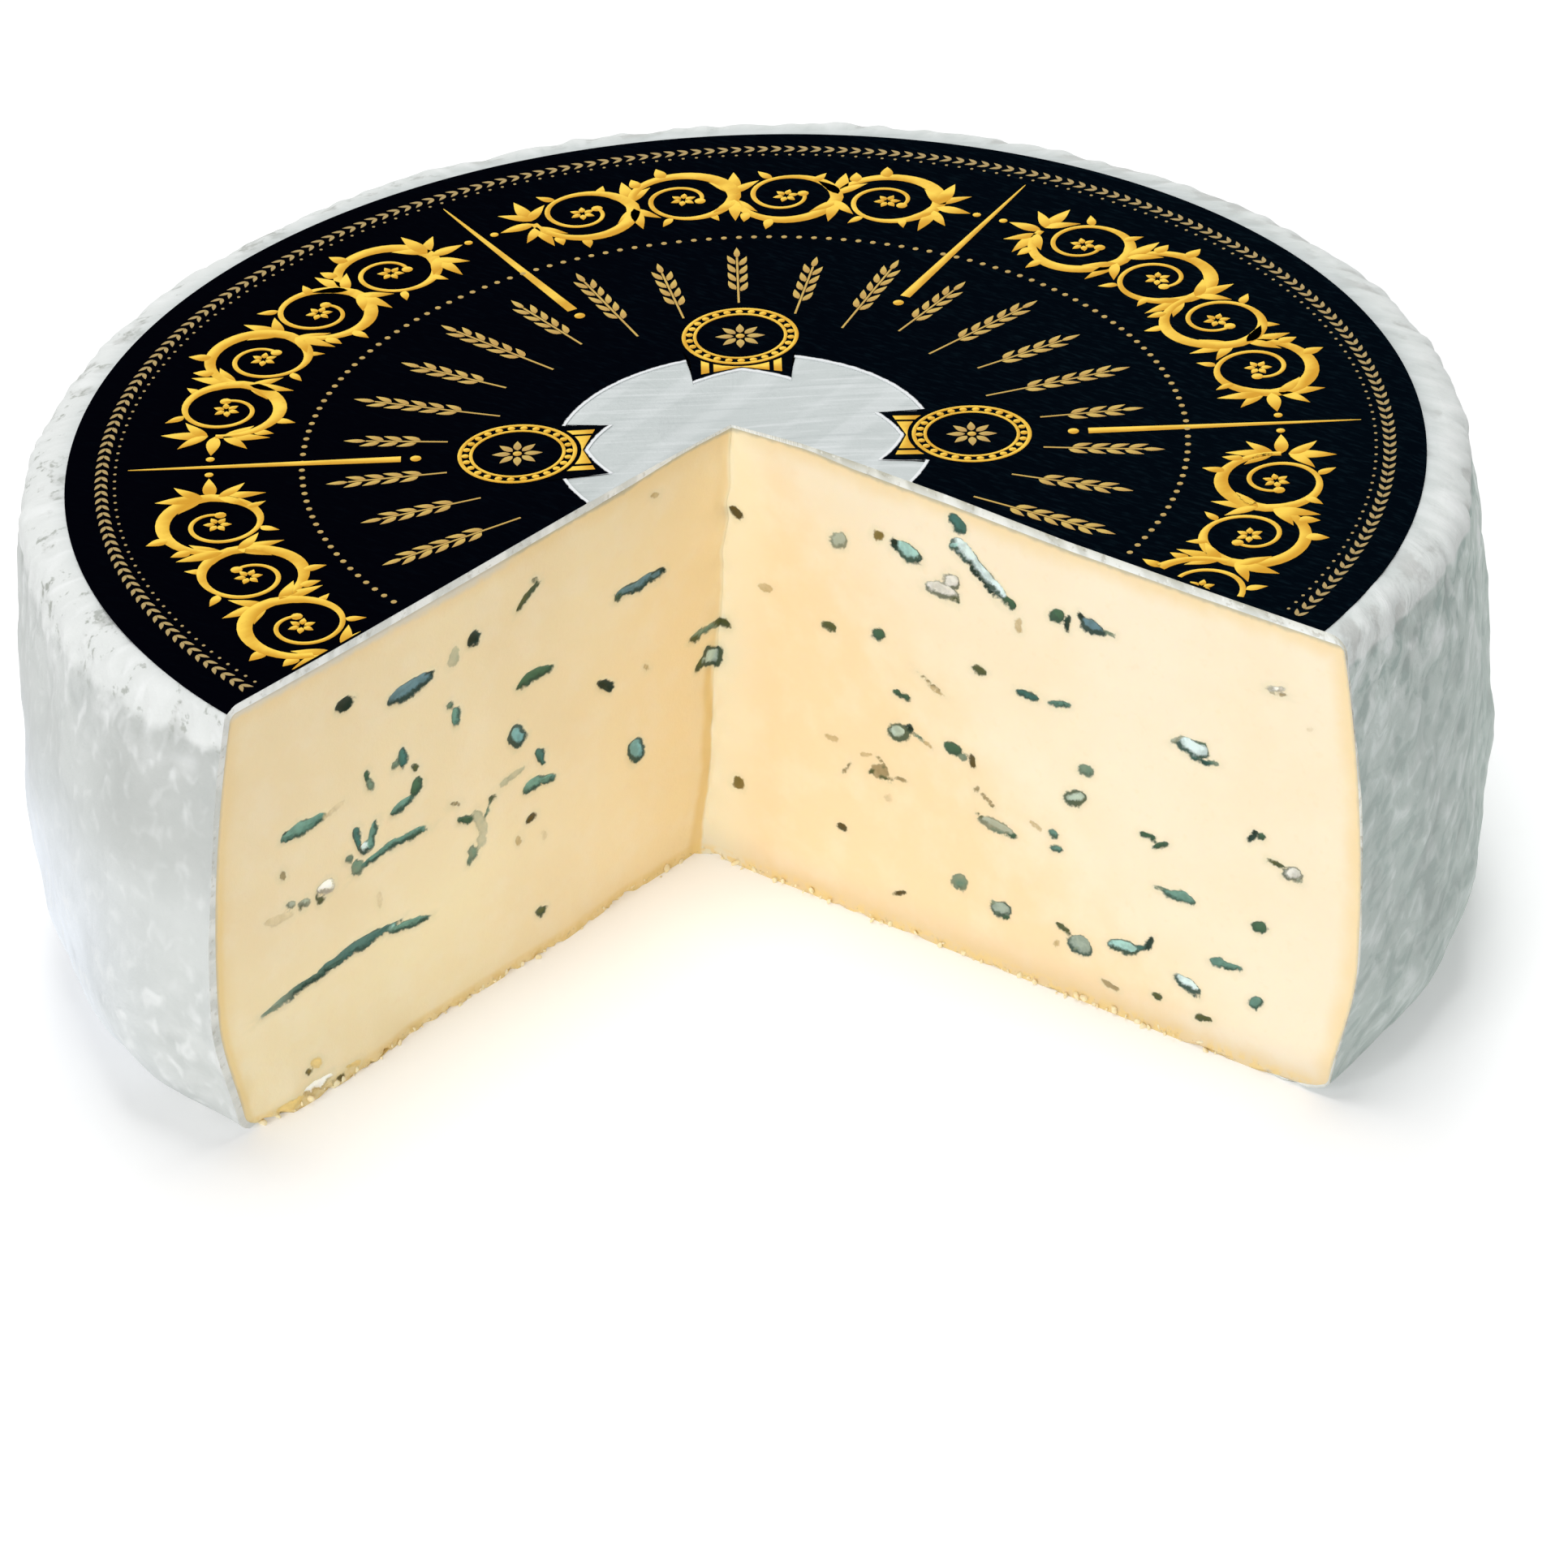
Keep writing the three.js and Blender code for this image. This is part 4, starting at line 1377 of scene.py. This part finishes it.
# Radii between which the ears of grain run, by turns short and long, and their start by a tab
EAR_FROM = (37.0, 34.5)
EAR_TO = (53.0, 55.5)
EAR_BY_TAB = 40.0


def volute(ink, middle, side):
    """A stem that comes up on the left, passes over by side and winds in round a flower."""
    share = np.linspace(0, 1, 66)
    swept = 3.1 * math.pi * share
    inward = np.maximum(swept - math.pi, 0) / (2.1 * math.pi)
    radius = VOLUTE_RADIUS * (1 - (1 - VOLUTE_END) * inward**0.8)
    width = 1.0 + 1.15 * np.sin(math.pi * np.clip(share * 1.9, 0, 1)) ** 1.5 - 0.45 * share
    line = middle + radius[:, None] * unit(math.pi - side * swept)
    ink.stroke(line, width, BOLD)
    ink.disc(line[-1], 0.8, BOLD, 10)
    for k in range(6):
        turn = k * math.pi / 3 + 0.3
        ink.leaf(middle + 0.35 * unit(turn), turn, 1.55, 0.95, 0, BOLD, 5)


def running_scroll(ink):
    """Volutes in a row, by turns over and under a wavy stem, with leaves in the gaps between."""
    for k in range(VOLUTES):
        side = 1 if k % 2 else -1
        middle = np.array([(2 * k - VOLUTES + 1) * VOLUTE_RADIUS, 0.0])
        volute(ink, middle, side)
        # Leaves outside the volute and then inside: turn, bend, size, curl and share of the radius
        for turn, bend, length, width, curl, share in (
            (0.75, -0.30, 4.4 * 0.62, 1.7, -0.3, 1.0),
            (1.35, 0.34, 4.8 * 0.62, 1.7, -0.3, 1.0),
            (4.0, -0.7, 2.7, 1.35, 0.35, 0.80),
            (5.1, -0.7, 2.7, 1.35, 0.35, 0.80),
        ):
            lead = math.pi - side * turn
            root = middle + share * VOLUTE_RADIUS * unit(lead)
            ink.leaf(root, lead + side * bend, length, width, curl * side, BOLD)
    for k in range(VOLUTES + 1):
        x = (2 * k - VOLUTES) * VOLUTE_RADIUS
        for up in (-1, 1):
            root = (x, 1.0 * up)
            ink.leaf(root, up * math.pi / 2, 6.4, 1.9, 0, BOLD)
            for lean in (-1, 1):
                turn = up * math.pi / 2 + lean * 0.52
                ink.leaf(root, turn, 4.9, 1.6, 0.22 * lean, BOLD)
        if k in (0, VOLUTES):
            out = -1 if k == 0 else 1
            ink.leaf((x, 0.0), math.pi / 2 * (1 - out), 5.2, 1.9, 0, BOLD)
            ink.disc((x + out * 6.2, 0.0), 0.6, BOLD, 10)


def needle(ink):
    """A long spike along x that thins outwards, with a bead at its foot."""
    place = np.linspace(NEEDLE_FROM + 2, NEEDLE_TO, 26)
    share = np.linspace(0, 1, 26)
    ink.stroke(pair(place, 0 * place), 1.35 * (1 - share) ** 0.7 + 0.12, SPIKE)
    ink.disc((NEEDLE_FROM, 0), 0.75, SPIKE)


def grain_ear(ink, length):
    """A slender ear of grain along x."""
    line = pair(np.linspace(0, length * 0.85, 8), np.zeros(8))
    ink.stroke(line, 0.3, EAR)
    pairs = round(length * 0.62 / GRAIN_PITCH)
    for k in range(pairs):
        place = length * 0.86 - GRAIN_PITCH * (pairs - k)
        for side in (-1, 1):
            root = (place + 0.5 * (side > 0), side * 0.3)
            ink.leaf(root, side * 0.5, 2.8, 0.95, -0.12 * side, EAR, 5)
    ink.leaf((length * 0.85, 0), 0.0, 3.0, 0.9, 0, EAR, 5)


def seal(ink):
    """A beaded ring round a flower, with a striped tail on the label's tab; x runs outwards."""
    middle = (SEAL_RADIUS, 0.0)
    ink.ring(middle, SEAL_RING + SEAL_HALF, 0.55, SEAL, 56)
    ink.ring(middle, SEAL_RING - SEAL_HALF, 0.45, SEAL, 48)
    for k in range(SEAL_BEADS):
        ink.disc(middle + SEAL_RING * unit(k * 2 * math.pi / SEAL_BEADS), 0.52, SEAL, 8)
    for k in range(8):
        turn = k * math.pi / 4
        ink.leaf(middle + 0.9 * unit(turn), turn, 2.5, 1.1, 0, 0.3)
    ink.disc(middle, 0.6, BEAD)
    clear = SEAL_RING + SEAL_HALF + SEAL_GAP
    for low, high in ((-5.5, -4.4), (-3.8, 3.8), (4.4, 5.5)):
        across = np.linspace(low, high, 7)
        near = np.sqrt(clear**2 - across**2)
        top = np.minimum(SEAL_RADIUS - near, SEAL_RADIUS - clear + 3.0)
        left, right = pair(tab_end(across) + 0.75, across), pair(top, across)
        ink.ribbon(ink.place(left), ink.place(right), SEAL)


def ink_piece(material):
    """All the gold ornament of the label."""
    ink = Ink()
    for side in (-1, 1):
        leaf = leaf_outline((0.05 * side, -0.85), math.pi / 2 - side * 0.5, 1.75, 0.62, 0, 5)
        ink.ring_of(leaf, *WREATH, 0.12, material)
    ink.ring_of(disc_outline(0.24, 6), *WREATH_BEADS, 0.1, material)
    ink.ring_of(disc_outline(0.42, 8), *BAND_BEADS, 0.25, material)
    sector = 2 * math.pi / SECTORS
    for k in range(SECTORS):
        ink.place = round_label(k * sector + math.pi / 2, BAND_RADIUS)
        running_scroll(ink)
        ink.place = outward((k + 0.5) * sector + math.pi / 2, 0.0)
        needle(ink)
    for k in range(EARS):
        turn = (k + 0.5) * 2 * math.pi / EARS
        near_tab = min(abs(math.remainder(turn - tab, 2 * math.pi)) for tab in TAB_TURNS)
        start = EAR_BY_TAB if near_tab < 0.15 else EAR_FROM[k % 2]
        ink.place = outward(turn, start)
        grain_ear(ink, EAR_TO[k % 2] - start)
    for turn in TAB_TURNS:
        ink.place = outward(turn, 0.0)
        seal(ink)
    ink.piece(material)


# Crumbs

def crumbs_piece(material):
    """Small torn crumbs along the lower edges of the cuts."""
    points = []
    edges = []
    for cut, ends in ((LEFT, (4.0, 86.0)), (RIGHT, (3.0, 88.0))):
        along = np.linspace(*ends, 160)
        level = np.full(along.size, 0.5)
        flat = apex_at(level) + along[:, None] * unit(cut.angle) - 0.15 * cut.inward
        start = len(points)
        points += settle(at_level(flat, level)).tolist()
        edges += [(k, k + 1) for k in range(start, len(points) - 1)]
    path = bpy.data.meshes.new("cut_edges")
    path.from_pydata(points, edges, [])
    growth = Growth(
        "edge_crumbs", Count=64, Seed=4, Spread=0.5, Smallest=0.22, Largest=0.85, Material=material
    )
    line = growth.node("GeometryNodeMeshToCurve", None, {"Mesh": growth["Geometry"]})
    sockets = {"Curve": line, "Count": growth["Count"]}
    line = growth.node("GeometryNodeResampleCurve", None, sockets)
    spots = growth.node("GeometryNodeCurveToPoints", {"mode": "EVALUATED"}, {"Curve": line})
    spread = growth.combine(**dict.fromkeys("XYZ", growth["Spread"]))
    back = growth.vector("SCALE", spread, Scale=-1.0)
    shift = growth.random("FLOAT_VECTOR", back, spread, growth["Seed"], 0)
    spots = growth.node("GeometryNodeSetPosition", None, {"Geometry": spots, "Offset": shift})
    ball = growth.node("GeometryNodeMeshIcoSphere", None, {"Radius": 1.0, "Subdivisions": 2})
    spin = growth.random("FLOAT_VECTOR", (0.0, 0.0, 0.0), (6.28, 6.28, 6.28), growth["Seed"], 0)
    toss = growth.random("FLOAT", 0.0, 1.0, growth["Seed"], 1).math("POWER", 2.2)
    size = toss * (growth["Largest"] - growth["Smallest"]) + growth["Smallest"]
    size = growth.combine(X=size, Y=size * 0.75, Z=size * 0.5)

    def roughen(solid):
        wave = growth.node("ShaderNodeTexNoise", None, {"Scale": 1.6, "Detail": 1.0}, 1)
        wave = growth.vector("SUBTRACT", wave, by=(0.5, 0.5, 0.5))
        wave = growth.vector("SCALE", wave, Scale=0.6)
        return growth.node("GeometryNodeSetPosition", None, {"Geometry": solid, "Offset": wave})

    grown, places = growth.grow(growth.repeat(ball, spots, spin, Scale=size), path, roughen)
    places[:, 2] = np.maximum(places[:, 2], 0.02)
    faces = [list(polygon.vertices) for polygon in grown.polygons]
    far = np.ones(len(places))
    fields = {
        "vein_edge": FAR_FROM_VEIN * far,
        "vein_core": FAR_FROM_VEIN * far,
        "from_rind": 4 * far,
        "from_base": 5 * far,
        "from_corner": 60 * far,
        "on_left": far,
    }
    make_piece("crumbs", material, [], places, faces, fields, 60.0)


# Materials

FOLD_TURN = math.atan(FOLD_SLANT)
# Ways that the rind's broad bands under the label and the paper's weave run
BAND_TURN = -0.93
WEAVE_TURN = math.radians(35)
# The rind is painted paler on the far side of the wheel's right end, as painted light where light
# grazes it, from here to here round the wheel
FAR_SIDE = tuple((RIGHT_CUT + math.radians(turn)) * WHEEL_RADIUS for turn in (9, 28))


def rind_material():
    """Matt bloomy rind: blotched, paler on its crests as a painted highlight, with painted shade in
    its dips, brushed folds, bare top under the label.
    """
    shader = Shader("bloomy_rind")
    place = shader.place()
    skin = shader.attribute("skin", "Vector")
    around, *_ = shader.attribute_parts("skin")
    painted_light, shade, rough = shader.attribute_parts("tone")
    names = ("on_top", "on_shoulder", "crest", "brushed", "cut_edge")
    on_top, on_shoulder, crest, brushed, cut_edge = map(shader.attribute, names)
    on_wall = 1.0 - on_top
    folded = shader.stretched(shader.turned(skin, FOLD_TURN), 1.0, FOLD_STRETCH, 1.0)
    banded = shader.stretched(shader.turned(place, BAND_TURN), 0.03, 1.0, 1.0)
    broad = shader.noise(place, 24, 2.0, 0.55)
    cloud = shader.noise(place, 7.0, 3.0, 0.6, 0.4)
    streak = shader.noise(folded, 2.4, 3.0, 0.55, 1.0, per_mm=True)
    tuft = shader.noise(shader.stretched(skin, 1.0, 0.7, 1.0), 2.6, 1.5, 0.5, 0.4, per_mm=True)
    grain = shader.noise(place, 1.1, 2.0, 0.6)
    fuzz = shader.noise(place, 0.4, 1.0, 0.5)
    weave = shader.noise(shader.stretched(place, 0.06, 1.0, 1.0), 0.9, 2.0, 0.5)
    bands = shader.noise(banded, 6.0, 1.0, 0.4)
    # Painted bluish light, broken up by the blotches
    lit = painted_light + (cloud - 0.5) * painted_light * 0.5
    fold = streak * 0.8 + tuft * 0.2 + (crest - 0.5) * 0.35
    folds = on_wall * brushed * rough
    # Painted light where light grazes the far side of the right end
    far_side_light = around.step(*FAR_SIDE) * brushed * on_wall * (1.0 - on_shoulder)
    band = on_shoulder + (cloud - 0.5) * 0.5 + (crest - 0.5) * 0.35
    tufts = tuft.step(0.50, 0.80) * rough * (0.62 - brushed * 0.2)
    # Painted shade in the shoulder's creases, where the relief dips
    crease_shade = (crest + (grain - 0.5) * 0.5).step(0.42, 0.16) * on_shoulder
    pits = (tuft * 0.45 + grain * 0.55 + (crest - 0.5) * 0.3).step(0.44, 0.33) * (1.0 - brushed)
    base = shader.coats(
        # Blotches, painted shade on the upper left beside the cut, and painted bluish light below
        # it
        shader.mix(broad.step(0.32, 0.68), (0.545, 0.57, 0.555), (0.605, 0.63, 0.615)),
        (cloud.step(0.36, 0.66) * rough * 0.6, (0.68, 0.70, 0.685)),
        (shade * 0.5, (0.42, 0.435, 0.415)),
        (lit * 0.85, (0.84, 0.885, 0.95)),
        # Brushed folds on the right
        (brushed * on_wall * 0.7, (0.465, 0.545, 0.51)),
        (fold.step(0.50, 0.36) * folds * 0.75, (0.33, 0.41, 0.385)),
        (fold.step(0.53, 0.68) * folds * 0.75, (0.72, 0.775, 0.76)),
        # Painted light on the far side of the right end
        (far_side_light, (1.20, 1.21, 1.20), "MULTIPLY"),
        # Painted highlights on crests and painted shade in dips, and the shoulder's pale band with
        # tufts, painted shade in its creases, and pits
        (crest.step(0.55, 1.0) * on_wall * rough * 0.5, (0.80, 0.815, 0.81)),
        (crest.step(0.45, 0.05) * on_wall * rough * 0.5, (0.38, 0.41, 0.395)),
        (band.step(0.25, 0.70) * on_wall * 0.75, (0.79, 0.81, 0.795)),
        (tufts, (0.86, 0.875, 0.87)),
        (crease_shade * on_wall * 0.45, (0.43, 0.435, 0.41)),
        (pits * on_shoulder * on_wall * 0.70, (0.29, 0.31, 0.27)),
        # Top that shows in the label's window
        (on_top * 0.8, (0.545, 0.59, 0.585)),
        (bands.step(0.52, 0.60) * on_top * 0.42, (0.68, 0.715, 0.715)),
        (weave.step(0.50, 0.72) * on_top * 0.45, (0.76, 0.79, 0.795)),
        (weave.step(0.42, 0.28) * on_top * 0.4, (0.43, 0.47, 0.47)),
    )
    tufted = tuft.step(0.60, 0.38)
    rim = shader.coats(
        shader.mix(tufted, (0.86, 0.89, 0.88), (0.68, 0.71, 0.69)),
        (brushed * 0.9, shader.mix(tufted, (0.69, 0.70, 0.635), (0.47, 0.465, 0.375))),
        (grain.step(0.44, 0.30) * (0.35 + brushed * 0.3), (0.36, 0.34, 0.27)),
        (grain.step(0.60, 0.74) * 0.6, (0.90, 0.92, 0.90)),
    )
    height = cloud * 0.5 + tuft * 0.45 + streak * on_wall * brushed * 0.5
    height = height * (1.0 - on_top * 0.8) * rough + weave * on_top * 0.12
    fur = rough * (0.75 - brushed * 0.4) + on_top * 0.4
    normal = shader.bump(height, 1.0, 0.6)
    normal = shader.bump((grain * 0.7 + fuzz * 0.3) * fur, 0.35, 0.6, normal)
    return shader.finish(
        Base_Color=shader.mix(cut_edge, base, rim),
        Roughness=tuft * 0.1 + 0.82,
        Normal=normal,
        Specular_IOR_Level=0.12,
        Sheen_Weight=0.05,
        Sheen_Roughness=0.6,
    )


def paste_material():
    """Creamy paste, deeper in colour by the rind and in the corner, with painted light and shade on
    its faces, and mould veins.
    """
    shader = Shader("blue_cheese_paste")
    place = shader.place()
    names = ("vein_edge", "vein_core", "vein_strength")
    edge, core, strength = map(shader.attribute, names)
    names = ("from_rind", "from_base", "from_corner", "on_left")
    from_rind, from_base, from_corner, on_left = map(shader.attribute, names)
    vein_rim = shader.attribute("vein_rim", "Color")
    vein_middle = shader.attribute("vein_middle", "Color")
    broad = shader.noise(place, 30, 2.0, 0.5)
    middle = shader.noise(place, 6, 3.0, 0.55)
    small = shader.noise(place, 1.6, 2.0, 0.55)
    fine = shader.noise(place, 0.7, 2.0, 0.6)
    on_right = 1.0 - on_left
    from_top = PASTE_TOP - PASTE_BASE - from_base

    # The cheese itself, yellower round the edges of both faces, and yellower on the left face as
    # painted shade
    warm = from_corner * 0.63 + from_base * 0.78 + (broad - 0.5) * 14.0 + (middle - 0.5) * 8.0
    cream = shader.coats(
        shader.mix(broad.step(0.3, 0.7), (0.89, 0.76, 0.54), (0.915, 0.795, 0.60)),
        (warm.step(62.0, 44.0), (0.90, 0.695, 0.425)),
    )
    # The left face's copy, painted warmer and deeper as painted shade
    left_in_shade = shader.coats(
        shader.mix(broad.step(0.3, 0.7), (0.89, 0.725, 0.445), (0.925, 0.77, 0.485)),
        (from_corner.step(34.0, 6.0) * 0.5, (0.95, 0.745, 0.41)),
    )
    by_rind = (from_rind + (middle - 0.5) * 2.6).step(3.8, 0.3)
    by_rind = by_rind * (0.65 - from_base.step(7.0, 3.0) * on_left * 0.45)
    by_corner = from_corner.step(20.0, 0.0) * (on_left * 0.18 + 0.06)
    # Painted paler where light bounces between the faces near the corner
    paler = (from_corner + from_base * 0.04).step(12.0, 1.0) * on_right
    low_right = from_base.step(7.0, 0.5) * on_right
    low_left = from_base.step(36.0, 14.0) * from_corner.step(28.0, 50.0) * on_left
    # Painted shade and a painted highlight along the left face's inner corner
    corner_shade = from_corner.step(2.8, 1.2) * from_base.step(40.0, 31.0) * on_left
    corner_highlight = from_corner.step(0.9, 0.2) * from_base.step(24.0, 36.0) * on_left
    gilt = (from_rind + (small - 0.5) * 0.8).step(1.9, 0.9) * from_base.step(60.0, 30.0) * on_left
    bared = from_corner.step(40.0, 47.0) * on_left
    # Painted shade under the top skin's edge and along the rind
    top_shade = (from_top + (small - 0.5) * 0.8).step(0.85, 0.05) * (1.0 - bared * 0.8)
    soft_top_shade = (from_top + (small - 0.5) * 1.2 + from_corner * 0.01).step(2.4, 1.0) * bared
    rind_shade_line = (from_rind + (small - 0.5) * 0.4).step(0.55, 0.05) * from_base.step(2.0, 5.0)
    scrap = from_base.step(1.8, 0.4) * small.step(0.44, 0.56)
    speck = from_base.step(1.2, 0.3) * fine.step(0.60, 0.70)
    base = shader.coats(
        shader.mix(on_left, cream, left_in_shade),
        (middle.step(0.4, 0.75) * 0.3, (0.94, 0.83, 0.63)),
        (small.step(0.58, 0.75) * 0.15, (0.88, 0.66, 0.40)),
        # Deeper by the rind and the corner, and painted paler at the right face's inner edge to
        # take out the warm light bounced between the faces
        (by_rind, (0.86, 0.65, 0.33)),
        (by_corner, (0.91, 0.67, 0.34)),
        (paler, (0.905, 0.81, 0.575)),
        # Less light low on the right face and more low on the left
        (low_right, (0.89, 0.90, 0.93), "MULTIPLY"),
        (low_left, (1.045, 1.075, 1.09), "MULTIPLY"),
        # Lines along the left face's edges: painted shade and a painted highlight in the inner
        # corner, and a golden band by the rind
        (corner_shade * 0.65, (0.80, 0.55, 0.19)),
        (corner_highlight * 0.85, (0.96, 0.85, 0.60)),
        (gilt * 0.45, (0.85, 0.62, 0.235)),
        # Painted grey shade under the top skin and along the rind, and scraps and specks along the
        # frayed foot
        (top_shade * 0.75, (0.50, 0.465, 0.32)),
        (soft_top_shade * 0.8, (0.70, 0.67, 0.59)),
        (rind_shade_line * 0.45, (0.50, 0.46, 0.36)),
        (scrap * 0.75, (0.83, 0.62, 0.26)),
        (speck * 0.7, (0.52, 0.42, 0.24)),
    )

    # Veins: a faint halo, a dark rim and a middle that may be pale
    line = edge + (fine - 0.5) * 0.7 + (small - 0.5) * 0.8
    inner = core + (fine - 0.5) * 0.7 + (small - 0.5) * 0.9
    strength = strength + (strength * -1.0 + 1.0) * (small - 0.5) * strength * 4.0
    vein_middle = shader.mix(on_left, vein_middle, (1.22, 1.25, 1.22), "MULTIPLY")
    rim = shader.coats(
        vein_rim,
        (middle.step(0.3, 0.7) * 0.35, (0.035, 0.10, 0.085)),
        (strength.step(0.95, 0.80), vein_rim),
    )
    body = shader.mix(small.step(0.58, 0.34) * 0.30, vein_middle, vein_rim)
    base = shader.coats(
        base,
        (line.step(1.1, -0.1) * strength * 0.25, (0.56, 0.58, 0.38)),
        (line.step(0.13, -0.23) * strength, shader.mix(inner.step(0.24, -0.20), rim, body)),
    )
    return shader.finish(
        Base_Color=base,
        Roughness=middle * 0.12 + 0.42,
        Normal=shader.bump(fine * 0.25 + middle * 0.5, 0.35, 0.3),
        Specular_IOR_Level=0.2,
        Subsurface_Weight=0.2,
        Subsurface_Radius=(1.2, 0.8, 0.4),
        Subsurface_Scale=0.8 * MM,
    )


def label_material():
    """Blue-black printed paper with a faint fibre in it, bare and white at the window's edge."""
    shader = Shader("label_paper")
    place = shader.place()
    woven = shader.stretched(shader.turned(place, WEAVE_TURN), 0.22, 1.0, 1.0)
    fibre = shader.noise(place, 0.9, 3.0, 0.6)
    broad = shader.noise(place, 18, 2.0, 0.5)
    weave = shader.noise(woven, 0.55, 2.0, 0.6)
    teal = (shader.attribute("across") + (broad - 0.5) * 30.0).step(-70.0, 75.0)
    bare = (shader.attribute("from_window") + (fibre - 0.5) * 0.4).step(0.55, 0.35)
    base = shader.coats(
        shader.mix(teal, (0.0008, 0.0009, 0.0024), (0.0009, 0.0026, 0.0050)),
        (weave.step(0.46, 0.80) * (teal * 0.65 + 0.06), (0.0045, 0.0105, 0.0155)),
        (bare, (0.80, 0.82, 0.83)),
    )
    normal = shader.bump(fibre * 0.5 + broad, 0.08, 0.4)
    return shader.finish(
        Base_Color=base, Roughness=fibre * 0.15 + 0.6, Normal=normal, Specular_IOR_Level=0.0
    )


def ink_material():
    """Gold ink, from bright yellow to orange across each bold shape and duller on fine lines."""
    shader = Shader("gold_print")
    place = shader.place()
    broad = shader.noise(place, 5, 2.0, 0.5)
    grain = shader.noise(place, 0.6, 2.0, 0.6)
    lit = (shader.attribute("tone") + (broad - 0.5) * 0.9).step(0.15, 0.85)
    bright = shader.mix(lit, (0.66, 0.33, 0.018), (0.98, 0.66, 0.085))
    base = shader.mix(shader.attribute("shine").step(0.0, 0.8), (0.40, 0.295, 0.13), bright)
    base = shader.mix(grain.step(0.6, 0.8) * 0.3, base, (0.45, 0.24, 0.03))
    normal = shader.bump(grain, 0.03, 0.3)
    return shader.finish(
        Base_Color=base, Roughness=grain * 0.2 + 0.5, Normal=normal, Specular_IOR_Level=0.05
    )


# Studio

WHITE = (1.0, 1.0, 1.0)
# Soft round lights: place in metres and power
LIGHTS = {
    "top": ((0.0, 0.1, 2.0), 18.6),
    "key": ((-1.2, -1.5, 0.9), 12.4),
    "front": ((-0.4, -1.9, 0.5), 8.4),
    "back": ((0.1, 1.6, 1.1), 11.8),
}
LIGHT_SIZE = 0.9
LIGHT_AIM = Vector((0.0, 0.0, 0.03))
SURROUND_STRENGTH = 0.27
FLOOR_REACH = 6.0
FLOOR_GLOW = 0.22


def make_studio():
    """White floor, even surround, a soft key from the front left and a weak fill."""
    scene = bpy.context.scene
    scene.view_settings.view_transform = "Standard"
    scene.world = bpy.data.worlds.new("studio")
    scene.world.use_nodes = True
    surround = scene.world.node_tree.nodes["Background"]
    surround.inputs["Color"].default_value = (*WHITE, 1.0)
    surround.inputs["Strength"].default_value = SURROUND_STRENGTH
    for name, (place, power) in LIGHTS.items():
        data = bpy.data.lights.new(name, "AREA")
        data.shape = "DISK"
        data.size = LIGHT_SIZE
        data.energy = power
        light = add_object(name, data)
        light.location = place
        light.rotation_euler = (LIGHT_AIM - Vector(place)).to_track_quat("-Z", "Y").to_euler()
    shader = Shader("white_floor")
    tone = shader.noise(shader.place(), 400, 1.0, 0.5)
    mesh = bpy.data.meshes.new("floor")
    signs = ((-1, -1), (1, -1), (1, 1), (-1, 1))
    corners = [(x * FLOOR_REACH, y * FLOOR_REACH, 0) for x, y in signs]
    mesh.from_pydata(corners, [], [(0, 1, 2, 3)])
    mesh.materials.append(shader.finish(
        Base_Color=shader.mix(tone, (0.86, 0.86, 0.86), (0.88, 0.88, 0.88)),
        Roughness=0.9,
        Emission_Color=WHITE,
        Emission_Strength=FLOOR_GLOW,
        Specular_IOR_Level=0.0,
    ))
    floor = add_object("floor", mesh)


paste = paste_material()
paste_piece(paste)
crumbs_piece(paste)
rind_piece(rind_material())
label_piece(label_material())
ink_piece(ink_material())
make_studio()
